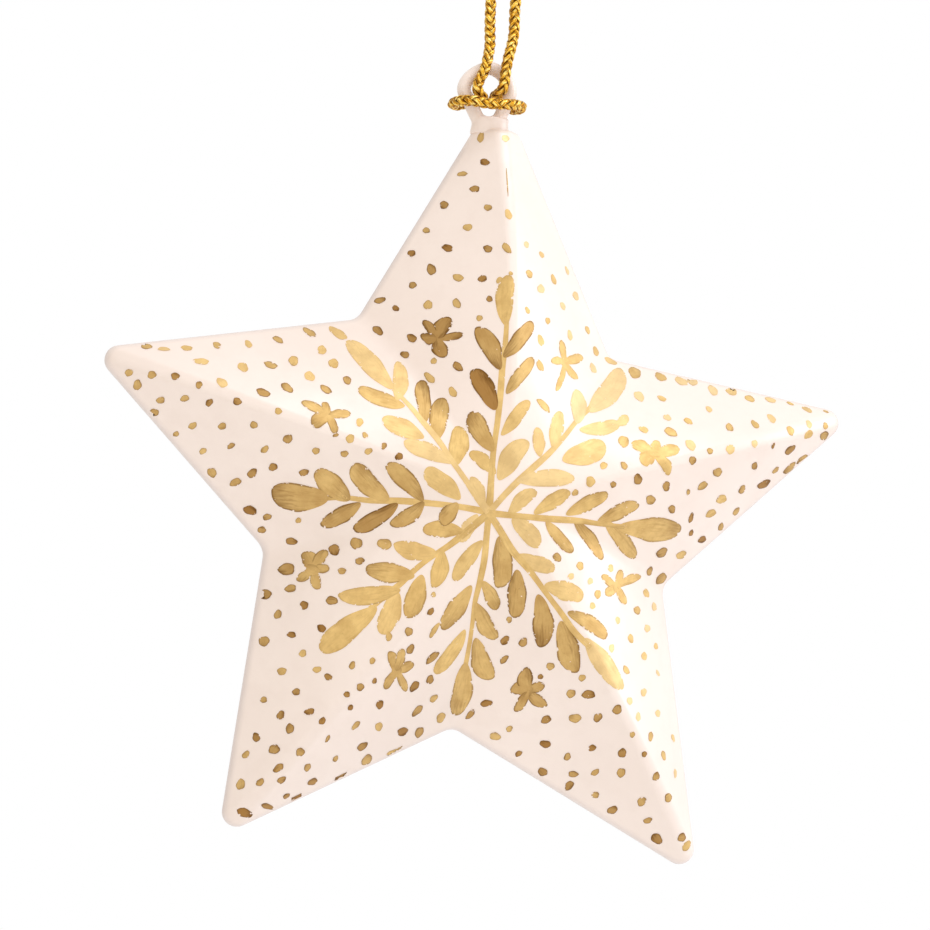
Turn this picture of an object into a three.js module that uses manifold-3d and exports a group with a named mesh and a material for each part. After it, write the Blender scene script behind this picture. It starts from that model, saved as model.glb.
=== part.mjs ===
// Painted star ornament: a hollow five-pointed star of papier-mache in two moulded halves,
// hung from a metallic cord that is cow-hitched on the eye at its top point.
// Units are millimetres, +Z is up and the painted front looks towards -Y.
// The origin is the middle of the knot that the ornament hangs by.

import * as THREE from 'three';
import { mergeVertices } from 'three/addons/utils/BufferGeometryUtils.js';
import Module from 'manifold-3d';

const wasm = await Module();
wasm.setup();

// Star outline, at the seam plane
const TIP_REACH = 49.2;              // centre to a tip's sharp corner
const NOTCH_REACH = 25.0;            // centre to a notch's sharp corner
const TIP_ROUND = 1.7;               // corner radius at the tips
const NOTCH_ROUND = 2.2;             // corner radius at the notches
// The mould was cut by hand: each arm and notch is a little longer or turned, clockwise from the top
const TIP_EXTRA = [0.2, -0.9, 0.9, -0.9, -0.5];
const TIP_TURN = [0.6, 0.4, 0.2, -0.4, 0.2];
const NOTCH_EXTRA = [-0.6, -0.7, 0.1, 0.3, 0.9];
const NOTCH_TURN = [3.3, -0.8, 2.6, 3.9, 0.5];

// Relief of each half
const CROWN = 14.5;                  // middle of the star above the seam plane
const FULLNESS = 2.1;                // how domed the facets are; 1 is flat
const LIP_ROUND = 1.8;               // radius of the rounded lip along the edge
const LIP_TURN = 40;                 // degrees of that radius before the facets start
const WALL = 2.2;                    // thickness of the moulded paper

// Joint between the halves
const FIT = 0.3;                     // clearance between glued neighbours
const STRIP_THICK = 0.5;             // paper strip over the seam
const STRIP_HALF = 0.85;             // half of its width
const TOP_CUT = 5.1;                 // the top tip's sharp corner down to the flat that the eye stands on

// Eye at the top point
const EYE_X = -0.7;                  // the eye stands a little left of the star's middle
const LIMB_ROUND = 0.72;             // half the limb's thickness in the eye's plane
const LIMB_DEPTH = 1.15;             // its depth front to back, as a share of its thickness
const NECK_X = -0.4;                 // the neck leans from the star's middle towards the eye
const NECK_FOOT = 2.45;              // half width of the neck at its foot
const NECK_WAIST = 2.15;             // half width at its narrowest
const NECK_DEPTH = 0.8;              // depth of the neck as a share of its width
const WIRE_ROUND = 0.22;             // radius of the wire core
const WIRE_FIT = 0.28;               // clearance round it
const WIRE_LEG = 9.5;                // length of its legs below the seat
const WIRE_SPREAD = 1.0;             // half the distance between the legs
const PLUG_LENGTH = 11.0;            // pulp plug that holds the legs
const PLUG_TOP = 0.9;                // top of the plug below the seat
// Middle line of the eye: its foot, its top and each side between them, out from the middle, above the seat
const EYE_FOOT = [0, 0.9];
const EYE_TOP = [0, 7.4];
const EYE_RIGHT = [[1.15, 1.25], [1.75, 2.2], [2.2, 3.3], [2.6, 4.5], [2.25, 5.85], [1.3, 6.9]];
const EYE_LEFT = [[1.15, 1.25], [1.8, 2.2], [2.45, 3.3], [3.15, 4.5], [2.75, 5.75], [1.5, 6.85]];

// Cord
const CORD = 1.4;                    // diameter
const CORD_SIDES = 8;
const HANG = 112.0;                  // knot's centre above the star's centre
const KNOT_CORE = 1.75;              // radius of the knot's middle
const KNOT_WRAP = 1.35;              // radius of each wrap's middle line
const STRAND_TOP = -2.35;            // height at which both strands leave the knot
const STRAND_END = -54.4;            // height at which both strands meet the hitch
const HITCH_END = STRAND_END - FIT;

// Mesh fineness
const ARC_STEPS = 4;
const EDGE_STEPS = 4;
const FACET_ROWS = [0.08, 0.2, 0.32, 0.44, 0.56, 0.67, 0.78, 0.89, 1];
const INNER_ROWS = [0.2, 0.42, 0.62, 0.82, 1];

const TIPS = TIP_EXTRA.length;
const STAR_Z = -HANG;
const SEAT_Z = STAR_Z + TIP_REACH + TIP_EXTRA[0] - TOP_CUT;

// Cord routes, hand laid from point to point: x, y, z
const LEFT_STRAND = [
  [-0.9, 0, STRAND_TOP], [-0.9, 0, -3.8], [-1.3, 0.05, -8], [-2.0, 0.1, -15], [-2.6, 0.1, -23],
  [-2.85, 0.05, -31], [-2.65, -0.1, -39], [-2.1, -0.35, -46], [-1.4, -0.65, -51.5],
  [-1.25, -0.7, -53], [-1.25, -0.7, STRAND_END],
];
const RIGHT_STRAND = [
  [0.9, 0, STRAND_TOP], [0.9, 0, -3.8], [1.35, -0.05, -8], [2.15, -0.1, -15], [2.9, -0.1, -23],
  [3.3, -0.15, -31], [3.15, -0.25, -39], [2.6, -0.45, -46], [1.85, -0.65, -51.5],
  [1.7, -0.7, -53], [1.7, -0.7, STRAND_END],
];
const HITCH = [
  [-1.25, -0.7, HITCH_END], [-1.2, -0.8, -56.2], [-1.25, -1.25, -57.8], [-1.55, -1.78, -59.35],
  [-1.9, -1.87, -60.9], [-2.45, -1.88, -62.15], [-2.7, -1.88, -63.0], [-2.35, -1.78, -63.75],
  [-1.8, -1.2, -63.95], [-1.6, -0.35, -63.88], [-1.6, 0.4, -63.86], [-1.95, 1.35, -64.0],
  [-2.9, 1.93, -64.4], [-3.9, 1.7, -64.75], [-4.78, 0.6, -64.88], [-4.85, -0.8, -64.85],
  [-4.45, -2.2, -64.8], [-3.45, -3.2, -64.85], [-2.0, -3.5, -65.0], [-0.6, -3.5, -65.0],
  [0.7, -3.3, -64.9], [1.95, -2.5, -64.75], [2.88, -1.3, -64.7], [3.15, 0.1, -64.75],
  [2.65, 1.42, -64.7], [1.6, 1.93, -64.5], [0.6, 1.48, -64.05], [0.08, 0.55, -63.7],
  [0.06, -0.35, -63.58], [0.15, -1.2, -63.4], [0.4, -1.84, -62.9], [0.55, -1.88, -62.1],
  [0.65, -1.88, -60.7], [0.92, -1.78, -59.1], [1.38, -1.25, -57.6], [1.7, -0.8, -56.0],
  [1.7, -0.7, HITCH_END],
];
const LEFT_TAIL = [[-0.6, 0, 1.2], [-0.9, -0.1, 3.2], [-1.6, -0.3, 5.4], [-2.5, -0.3, 7.4], [-3.0, -0.2, 9.2]];
const RIGHT_TAIL = [[0.6, 0, 1.2], [0.9, 0.1, 3.2], [1.3, 0.3, 5.6], [2.1, 0.3, 7.8], [2.3, 0.4, 10.0]];

const cream = new THREE.MeshStandardMaterial({ color: 0xf1e4d6, roughness: 0.45, metalness: 0 });
const paper = new THREE.MeshStandardMaterial({ color: 0xe9dccb, roughness: 0.7, metalness: 0 });
const pulp = new THREE.MeshStandardMaterial({ color: 0xb7a68c, roughness: 0.9, metalness: 0 });
const steel = new THREE.MeshStandardMaterial({ color: 0x8d8f92, roughness: 0.35, metalness: 1 });
const gold = new THREE.MeshStandardMaterial({ color: 0xc8942e, roughness: 0.4, metalness: 0.7 });

// The star's ten sharp corners in its own plane, tip and notch in turn, clockwise from the top
function starCorners() {
  const corners = [];
  const step = (2 * Math.PI) / TIPS;
  for (let i = 0; i < TIPS; i += 1) {
    const tipTurn = i * step + THREE.MathUtils.degToRad(TIP_TURN[i]);
    const tipReach = TIP_REACH + TIP_EXTRA[i];
    corners.push(new THREE.Vector2(Math.sin(tipTurn), Math.cos(tipTurn)).multiplyScalar(tipReach));
    const notchTurn = (i + 0.5) * step + THREE.MathUtils.degToRad(NOTCH_TURN[i]);
    const notchReach = NOTCH_REACH + NOTCH_EXTRA[i];
    corners.push(new THREE.Vector2(Math.sin(notchTurn), Math.cos(notchTurn)).multiplyScalar(notchReach));
  }
  return corners;
}

// The same corners with every edge moved inwards
function insetCorners(corners, inset) {
  const count = corners.length;
  const lines = corners.map((corner, i) => {
    const along = corners[(i + 1) % count].clone().sub(corner).normalize();
    const inward = new THREE.Vector2(along.y, -along.x);
    return { point: corner.clone().addScaledVector(inward, inset), along };
  });
  return corners.map((corner, i) => {
    const before = lines[(i + count - 1) % count];
    const after = lines[i];
    const gap = after.point.clone().sub(before.point);
    const reach = gap.cross(after.along) / before.along.cross(after.along);
    return before.point.clone().addScaledVector(before.along, reach);
  });
}

// A closed outline with its corners rounded, the same number of points at any inset
function outline(inset) {
  const corners = insetCorners(starCorners(), inset);
  const count = corners.length;
  const arcs = corners.map((corner, i) => {
    const isTip = i % 2 === 0;
    const radius = isTip ? Math.max(TIP_ROUND - inset, TIP_ROUND / 3) : NOTCH_ROUND + inset;
    const back = corners[(i + count - 1) % count].clone().sub(corner).normalize();
    const ahead = corners[(i + 1) % count].clone().sub(corner).normalize();
    const half = Math.acos(back.dot(ahead)) / 2;
    const middle = back.clone().add(ahead).normalize();
    const centre = corner.clone().addScaledVector(middle, radius / Math.sin(half));
    const start = corner.clone().addScaledVector(back, radius / Math.tan(half)).sub(centre);
    const turn = (isTip ? -1 : 1) * (Math.PI - 2 * half);
    const points = [];
    for (let k = 0; k <= ARC_STEPS; k += 1) {
      points.push(start.clone().rotateAround(new THREE.Vector2(), (turn * k) / ARC_STEPS).add(centre));
    }
    return points;
  });
  const ring = [];
  arcs.forEach((arc, i) => {
    ring.push(...arc);
    const from = arc[arc.length - 1];
    const to = arcs[(i + 1) % count][0];
    for (let k = 1; k < EDGE_STEPS; k += 1) {
      ring.push(from.clone().lerp(to, k / EDGE_STEPS));
    }
  });
  return ring;
}

// One row of a skin: an outline scaled towards the star's middle, at a distance from the seam plane
function row(ring, scale, y) {
  return ring.map((p) => new THREE.Vector3(p.x * scale, y, p.y * scale + STAR_Z));
}

// A closed skin over rows of equal length, ending in two poles or running round into itself
function skin(rows, poles) {
  const count = rows[0].length;
  const points = rows.flat();
  const index = [];
  const last = poles ? rows.length - 1 : rows.length;
  for (let r = 0; r < last; r += 1) {
    const here = r * count;
    const next = ((r + 1) % rows.length) * count;
    for (let i = 0; i < count; i += 1) {
      const j = (i + 1) % count;
      index.push(here + i, here + j, next + j, here + i, next + j, next + i);
    }
  }
  if (poles) {
    const first = points.length;
    points.push(...poles);
    const end = (rows.length - 1) * count;
    for (let i = 0; i < count; i += 1) {
      const j = (i + 1) % count;
      index.push(first, j, i, first + 1, end + i, end + j);
    }
  }
  return outwards(points, index);
}

// A geometry whose faces point out, whichever way round its rows were given
function outwards(points, index) {
  let volume = 0;
  for (let k = 0; k < index.length; k += 3) {
    const [a, b, c] = [points[index[k]], points[index[k + 1]], points[index[k + 2]]];
    volume += a.dot(b.clone().cross(c));
  }
  if (volume < 0) index.reverse();
  const geometry = new THREE.BufferGeometry().setFromPoints(points);
  geometry.setIndex(index);
  return geometry;
}

function toSolid(geometry) {
  const bare = geometry.clone();
  bare.deleteAttribute('normal');
  bare.deleteAttribute('uv');
  const merged = mergeVertices(bare, 1e-5);
  return new wasm.Manifold(new wasm.Mesh({
    numProp: 3,
    vertProperties: new Float32Array(merged.attributes.position.array),
    triVerts: new Uint32Array(merged.index.array),
  }));
}

function toGeometry(solid) {
  const mesh = solid.getMesh();
  const geometry = new THREE.BufferGeometry();
  geometry.setAttribute('position', new THREE.BufferAttribute(new Float32Array(mesh.vertProperties), 3));
  geometry.setIndex(new THREE.BufferAttribute(new Uint32Array(mesh.triVerts), 1));
  return geometry;
}

// A round tube along a curve through the given points
function tube(points, radius, sides, steps) {
  const path = new THREE.CatmullRomCurve3(points.map((p) => new THREE.Vector3(...p)), false, 'centripetal');
  const section = new THREE.Shape();
  for (let k = 0; k < sides; k += 1) {
    const turn = (2 * Math.PI * k) / sides;
    const place = [radius * Math.cos(turn), radius * Math.sin(turn)];
    if (k === 0) section.moveTo(...place);
    else section.lineTo(...place);
  }
  section.closePath();
  return new THREE.ExtrudeGeometry(section, { steps, extrudePath: path, bevelEnabled: false });
}

// Everything above the seat, where the eye stands
function aboveSeat(rise) {
  const size = 2 * TIP_REACH;
  const box = new THREE.BoxGeometry(size, size, size);
  box.translate(0, 0, SEAT_Z + rise + size / 2);
  return toSolid(box);
}

const lipInset = LIP_ROUND * (1 - Math.cos(THREE.MathUtils.degToRad(LIP_TURN)));
const lipHeight = LIP_ROUND * Math.sin(THREE.MathUtils.degToRad(LIP_TURN));

// Rows of one domed face, from its middle out to its rim
function domeRows(inset, base, crown, scales, side) {
  const ring = outline(inset);
  return scales.map((t) => row(ring, t, side * (base + (crown - base) * (1 - t ** FULLNESS))));
}

// A half of the star: domed facets, a rebate for the seam strip, and the hollow behind
function shell(side) {
  const rebate = outline(STRIP_THICK + FIT);
  const rows = [
    ...domeRows(lipInset, lipHeight, CROWN, FACET_ROWS, side),
    row(rebate, 1, side * lipHeight),
    row(rebate, 1, (side * FIT) / 2),
    ...domeRows(WALL, FIT / 2, CROWN - WALL, INNER_ROWS, side).reverse(),
  ];
  const poles = [CROWN, CROWN - WALL].map((crown) => new THREE.Vector3(0, side * crown, STAR_Z));
  const halfStar = toSolid(skin(rows, poles));
  return toGeometry(halfStar.subtract(aboveSeat(0)).subtract(toSolid(wireRoom())));
}

// The room through the shells that the wire's legs pass down
function wireRoom() {
  const room = 2 * (WIRE_ROUND + FIT);
  const box = new THREE.BoxGeometry(2 * WIRE_SPREAD + room, room, 2 * WIRE_LEG);
  box.translate(EYE_X, 0, SEAT_Z);
  return box;
}

// The paper strip glued over the seam, open at the top point
function seamStrip() {
  const turn = Math.asin(STRIP_HALF / LIP_ROUND);
  const rows = [-1, -1 / 3, 1 / 3, 1].map((share) => {
    const inset = LIP_ROUND * (1 - Math.cos(turn * share));
    return row(outline(inset), 1, LIP_ROUND * Math.sin(turn * share));
  });
  const back = outline(STRIP_THICK);
  rows.push(row(back, 1, STRIP_HALF), row(back, 1, -STRIP_HALF));
  return toGeometry(toSolid(skin(rows)).subtract(aboveSeat(0)).subtract(toSolid(wireRoom())));
}

// The middle line of the eye as a closed loop of points, starting at its foot
function eyeLoop() {
  const left = EYE_LEFT.map(([x, z]) => [-x, z]).reverse();
  const loop = [EYE_FOOT, ...EYE_RIGHT, EYE_TOP, ...left];
  return loop.map(([x, z]) => new THREE.Vector3(EYE_X + x, 0, SEAT_Z + z));
}

// The wire core: up one leg, round the eye and down the other leg
function wirePath(extraLeg) {
  const foot = SEAT_Z - WIRE_LEG - extraLeg;
  const leg = [foot, SEAT_Z - 1, SEAT_Z + FIT].map((z) => [WIRE_SPREAD, z]);
  const side = (points) => [...leg, ...points.slice(1).map(([x, z]) => [x, SEAT_Z + z])];
  const left = side(EYE_LEFT).map(([x, z]) => [-x, z]).reverse();
  const path = [...side(EYE_RIGHT), [EYE_TOP[0], SEAT_Z + EYE_TOP[1]], ...left];
  return path.map(([x, z]) => [EYE_X + x, 0, z]);
}

function loopWire() {
  return tube(wirePath(0), WIRE_ROUND, 6, 44);
}

function wireChannel() {
  return toSolid(tube(wirePath(FIT), WIRE_ROUND + WIRE_FIT, 8, 44));
}

// The limb of the eye: rounded sections set square to its middle line all the way round
function limb() {
  const path = new THREE.CatmullRomCurve3(eyeLoop(), true, 'centripetal');
  const steps = 36;
  const sides = 12;
  const front = new THREE.Vector3(0, -1, 0);
  const rows = [];
  for (let k = 0; k < steps; k += 1) {
    const centre = path.getPointAt(k / steps);
    const outward = path.getTangentAt(k / steps).cross(front);
    const section = [];
    for (let i = 0; i < sides; i += 1) {
      const turn = (2 * Math.PI * i) / sides;
      const point = centre.clone().addScaledVector(outward, LIMB_ROUND * Math.cos(turn));
      section.push(point.addScaledVector(front, LIMB_ROUND * LIMB_DEPTH * Math.sin(turn)));
    }
    rows.push(section);
  }
  return toSolid(skin(rows));
}

// The gessoed eye: its limb on a waisted neck, cored for the wire
function hangerLoop() {
  const [, foot] = EYE_FOOT;
  const profile = new THREE.SplineCurve([
    new THREE.Vector2(NECK_FOOT, 0),
    new THREE.Vector2(NECK_WAIST + 0.03, 0.45 * foot),
    new THREE.Vector2(NECK_WAIST, foot),
    new THREE.Vector2(NECK_WAIST + 0.1, foot + 0.8 * LIMB_ROUND),
  ]).getPoints(6);
  profile.unshift(new THREE.Vector2(0, 0));
  profile.push(new THREE.Vector2(0, foot + 0.8 * LIMB_ROUND));
  const neck = new THREE.LatheGeometry(profile, 28);
  neck.rotateX(Math.PI / 2);
  neck.scale(1, NECK_DEPTH, 1);
  neck.translate(NECK_X, 0, SEAT_Z);
  const eye = limb().add(toSolid(neck)).intersect(aboveSeat(FIT));
  return toGeometry(eye.subtract(wireChannel()));
}

// The pulp plug that fills the hollow of the top point round the wire's legs
function anchorPlug() {
  const inset = WALL + FIT;
  const crown = CROWN - inset;
  const rows = [
    ...domeRows(inset, 0, crown, INNER_ROWS, -1),
    ...domeRows(inset, 0, crown, INNER_ROWS.slice(0, -1), 1).reverse(),
  ];
  const poles = [new THREE.Vector3(0, -crown, STAR_Z), new THREE.Vector3(0, crown, STAR_Z)];
  const size = 2 * TIP_REACH;
  const slice = new THREE.BoxGeometry(size, size, PLUG_LENGTH);
  slice.translate(0, 0, SEAT_Z - PLUG_TOP - PLUG_LENGTH / 2);
  return toGeometry(toSolid(skin(rows, poles)).intersect(toSolid(slice)).subtract(wireChannel()));
}

// The knot: crossed wraps over a round middle, with both cut ends standing out above
function cordKnot() {
  let knot = toSolid(new THREE.SphereGeometry(KNOT_CORE, 16, 10));
  [[0.5, 0.35], [-0.5, -0.35], [Math.PI / 2, 0.2]].forEach(([lean, twist]) => {
    const wrap = new THREE.TorusGeometry(KNOT_WRAP, CORD / 2, 8, 16);
    wrap.rotateX(lean);
    wrap.rotateY(twist);
    knot = knot.add(toSolid(wrap));
  });
  knot = knot.add(toSolid(tube(LEFT_TAIL, CORD / 2, CORD_SIDES, 4)));
  knot = knot.add(toSolid(tube(RIGHT_TAIL, CORD / 2, CORD_SIDES, 4)));
  return toGeometry(knot);
}

const ornament = new THREE.Group();

function addPiece(name, geometry, material) {
  const mesh = new THREE.Mesh(geometry, material);
  mesh.name = name;
  ornament.add(mesh);
}

addPiece('front_shell', shell(-1), cream);
addPiece('rear_shell', shell(1), cream);
addPiece('seam_strip', seamStrip(), paper);
addPiece('anchor_plug', anchorPlug(), pulp);
addPiece('loop_wire', loopWire(), steel);
addPiece('hanger_loop', hangerLoop(), cream);
addPiece('cord_hitch', tube(HITCH, CORD / 2, CORD_SIDES, 44), gold);
addPiece('cord_left', tube(LEFT_STRAND, CORD / 2, CORD_SIDES, 16), gold);
addPiece('cord_right', tube(RIGHT_STRAND, CORD / 2, CORD_SIDES, 16), gold);
addPiece('cord_knot', cordKnot(), gold);

export default ornament;
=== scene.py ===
import math
import random

import bmesh
import bpy
from mathutils import Matrix, Vector, noise
from mathutils.bvhtree import BVHTree


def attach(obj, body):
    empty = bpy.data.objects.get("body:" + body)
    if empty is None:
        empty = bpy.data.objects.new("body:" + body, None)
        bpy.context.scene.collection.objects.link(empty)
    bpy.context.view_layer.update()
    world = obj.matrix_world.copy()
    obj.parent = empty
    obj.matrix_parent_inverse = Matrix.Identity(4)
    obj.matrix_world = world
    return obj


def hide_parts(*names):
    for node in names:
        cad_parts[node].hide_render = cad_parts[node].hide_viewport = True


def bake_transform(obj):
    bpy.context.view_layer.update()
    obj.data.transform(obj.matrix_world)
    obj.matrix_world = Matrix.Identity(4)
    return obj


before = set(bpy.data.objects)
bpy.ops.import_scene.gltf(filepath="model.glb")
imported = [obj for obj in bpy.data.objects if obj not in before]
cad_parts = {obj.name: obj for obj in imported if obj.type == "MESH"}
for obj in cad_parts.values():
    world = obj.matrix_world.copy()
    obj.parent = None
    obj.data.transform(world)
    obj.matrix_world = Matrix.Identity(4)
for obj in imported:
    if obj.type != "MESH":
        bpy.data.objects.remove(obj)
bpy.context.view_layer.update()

MM = 0.001  # shapes are worked out in millimetres and finished in metres


def add_object(name, data):
    thing = bpy.data.objects.new(name, data)
    bpy.context.scene.collection.objects.link(thing)
    return thing


# ---------------- camera
# Where the photograph was taken from: round to the star's left and a little below it
STAR_MIDDLE = Vector((0.0, 0.0, -112.0))
AZIMUTH = math.radians(-16.0)
ELEVATION = math.radians(-5.0)
ROLL = math.radians(3.0)
DISTANCE = 700.0
PICTURE = 930.0  # pixels across and down
PIXEL = 0.1155  # millimetres of the star that one pixel covers
STAR_AT = (473.0, 511.0)  # pixel that the star's middle falls on
SENSOR = 36.0


def make_camera():
    """The photograph's camera: its place, its roll and a lens that gives the photograph's frame."""
    back = Vector((
        math.sin(AZIMUTH) * math.cos(ELEVATION),
        -math.cos(AZIMUTH) * math.cos(ELEVATION),
        math.sin(ELEVATION),
    ))
    level = Vector((0, 0, 1)).cross(back).normalized()
    upright = back.cross(level)
    right = level * math.cos(ROLL) + upright * math.sin(ROLL)
    up = upright * math.cos(ROLL) - level * math.sin(ROLL)
    place = STAR_MIDDLE + back * DISTANCE
    place -= right * (STAR_AT[0] - PICTURE / 2) * PIXEL
    place += up * (STAR_AT[1] - PICTURE / 2) * PIXEL
    data = bpy.data.cameras.new("camera")
    data.sensor_width = SENSOR
    data.lens = SENSOR * DISTANCE / (PICTURE * PIXEL)
    data.clip_start = 0.01
    data.clip_end = 20.0
    camera = add_object("camera", data)
    turn = Matrix((right, up, back)).transposed().to_4x4()
    camera.matrix_world = Matrix.Translation(place * MM) @ turn
    bpy.context.scene.camera = camera


make_camera()

# ---------------- shapes from curves and rows
SPAN_POINTS = 16  # fine points of a smooth line between two given ones
CRISP = math.radians(40)  # sharper edges than this aren't shaded smooth


def circle(count):
    """Cosine and sine of evenly spaced turns, all the way round."""
    return [(math.cos(math.tau * k / count), math.sin(math.tau * k / count)) for k in range(count)]


def smooth_line(points, step, closed=False):
    """Evenly spaced points along the smooth curve through the given ones."""
    knots = [Vector(p) for p in points]
    if closed:
        knots = [knots[-1]] + knots + knots[:2]
    else:
        knots = [2 * knots[0] - knots[1]] + knots + [2 * knots[-1] - knots[-2]]
    fine = []
    for a, b, c, d in zip(knots, knots[1:], knots[2:], knots[3:]):
        g0, g1, g2 = ((q - p).length ** 0.5 for p, q in ((a, b), (b, c), (c, d)))
        leave = ((b - a) / g0 - (c - a) / (g0 + g1) + (c - b) / g1) * g1
        arrive = ((c - b) / g1 - (d - b) / (g1 + g2) + (d - c) / g2) * g1
        for k in range(SPAN_POINTS):
            u = k / SPAN_POINTS
            bend = (3 * (c - b) - 2 * leave - arrive) * u ** 2 + (2 * (b - c) + leave + arrive) * u ** 3
            fine.append(b + leave * u + bend)
    fine.append(knots[-2])
    travelled = [0.0]
    for p, q in zip(fine, fine[1:]):
        travelled.append(travelled[-1] + (q - p).length)
    count = max(2, round(travelled[-1] / step))
    line = []
    at = 0
    for k in range(count + (0 if closed else 1)):
        goal = travelled[-1] * k / count
        while at < len(fine) - 2 and travelled[at + 1] < goal:
            at += 1
        share = (goal - travelled[at]) / max(travelled[at + 1] - travelled[at], 1e-9)
        line.append(fine[at].lerp(fine[at + 1], min(max(share, 0.0), 1.0)))
    return line


def line_length(line):
    return sum((q - p).length for p, q in zip(line, line[1:]))


def line_frames(line, closed=False):
    """Direction and side of a line at each of its points; the side turns as little as it can."""
    count = len(line)
    frames = []
    side = None
    for i in range(count):
        ahead = line[(i + 1) % count] if closed else line[min(i + 1, count - 1)]
        behind = line[i - 1] if closed else line[max(i - 1, 0)]
        along = (ahead - behind).normalized()
        if side is None:
            side = along.orthogonal().normalized()
        side = (side - along * side.dot(along)).normalized()
        frames.append((along, side))
    return frames


def outwards(along, side, turn):
    """The direction that stands off a line after a turn round it."""
    return side * math.cos(turn) + along.cross(side) * math.sin(turn)


def loft(rows, closed=False):
    """A bmesh: a ring of edges extruded from row to row, capped at both ends or closed on itself."""
    bm = bmesh.new()
    count = len(rows[0])
    first = ring = bmesh.ops.create_circle(bm, segments=count, radius=1.0)["verts"]
    for vert, point in zip(ring, rows[0]):
        vert.co = point
    for row in rows[1:]:
        edges = [bm.edges.get((ring[i - 1], ring[i])) for i in range(count)]
        made = bmesh.ops.extrude_edge_only(bm, edges=edges)["geom"]
        fresh = {v for v in made if isinstance(v, bmesh.types.BMVert)}
        ring = [next(e.other_vert(v) for e in v.link_edges if e.other_vert(v) in fresh) for v in ring]
        for vert, point in zip(ring, row):
            vert.co = point
    ends = [[bm.edges.get((r[i - 1], r[i])) for i in range(count)] for r in (first, ring)]
    if closed:
        bmesh.ops.bridge_loops(bm, edges=ends[0] + ends[1])
    else:
        for end in ends:
            cap = bmesh.ops.contextual_create(bm, geom=end)["faces"]
            bmesh.ops.poke(bm, faces=cap)
    return bm


def lay_uv(bm, rows, count, step, closed=False):
    """Unwraps a loft: millimetres along it, and its share round each row."""
    layer = bm.loops.layers.uv.new("along")
    bm.verts.index_update()
    total = rows * count
    for face in bm.faces:
        places = []
        for loop in face.loops:
            index = loop.vert.index
            places.append([index // count, index % count] if index < total else None)
        known = [p for p in places if p]
        wraps = max(p[1] for p in known) - min(p[1] for p in known) > count // 2
        turns = closed and max(p[0] for p in known) - min(p[0] for p in known) > rows // 2
        for loop, place in zip(face.loops, places):
            row, column = place or (known[0][0], count // 2)
            if wraps and column < count // 2:
                column += count
            if turns and row < rows // 2:
                row += rows
            loop[layer].uv = (row * step, column / count)


def add_into(whole, bm):
    """Adds one bmesh to another and frees it."""
    mesh = bpy.data.meshes.new("part")
    bm.to_mesh(mesh)
    bm.free()
    whole.from_mesh(mesh)
    bpy.data.meshes.remove(mesh)


def finish_piece(name, bm, material, crisp=False):
    """A named object at the origin from a bmesh in millimetres, its faces smooth and pointing outwards."""
    bmesh.ops.recalc_face_normals(bm, faces=bm.faces)
    for face in bm.faces:
        face.smooth = True
    if crisp:
        bm.normal_update()
        for edge in bm.edges:
            edge.smooth = edge.calc_face_angle(0.0) < CRISP
    bmesh.ops.scale(bm, vec=(MM,) * 3, verts=bm.verts)
    mesh = bpy.data.meshes.new(name)
    bm.to_mesh(mesh)
    bm.free()
    mesh.materials.append(material)
    piece = add_object(name, mesh)
    return piece


# ---------------- node helpers


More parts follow.
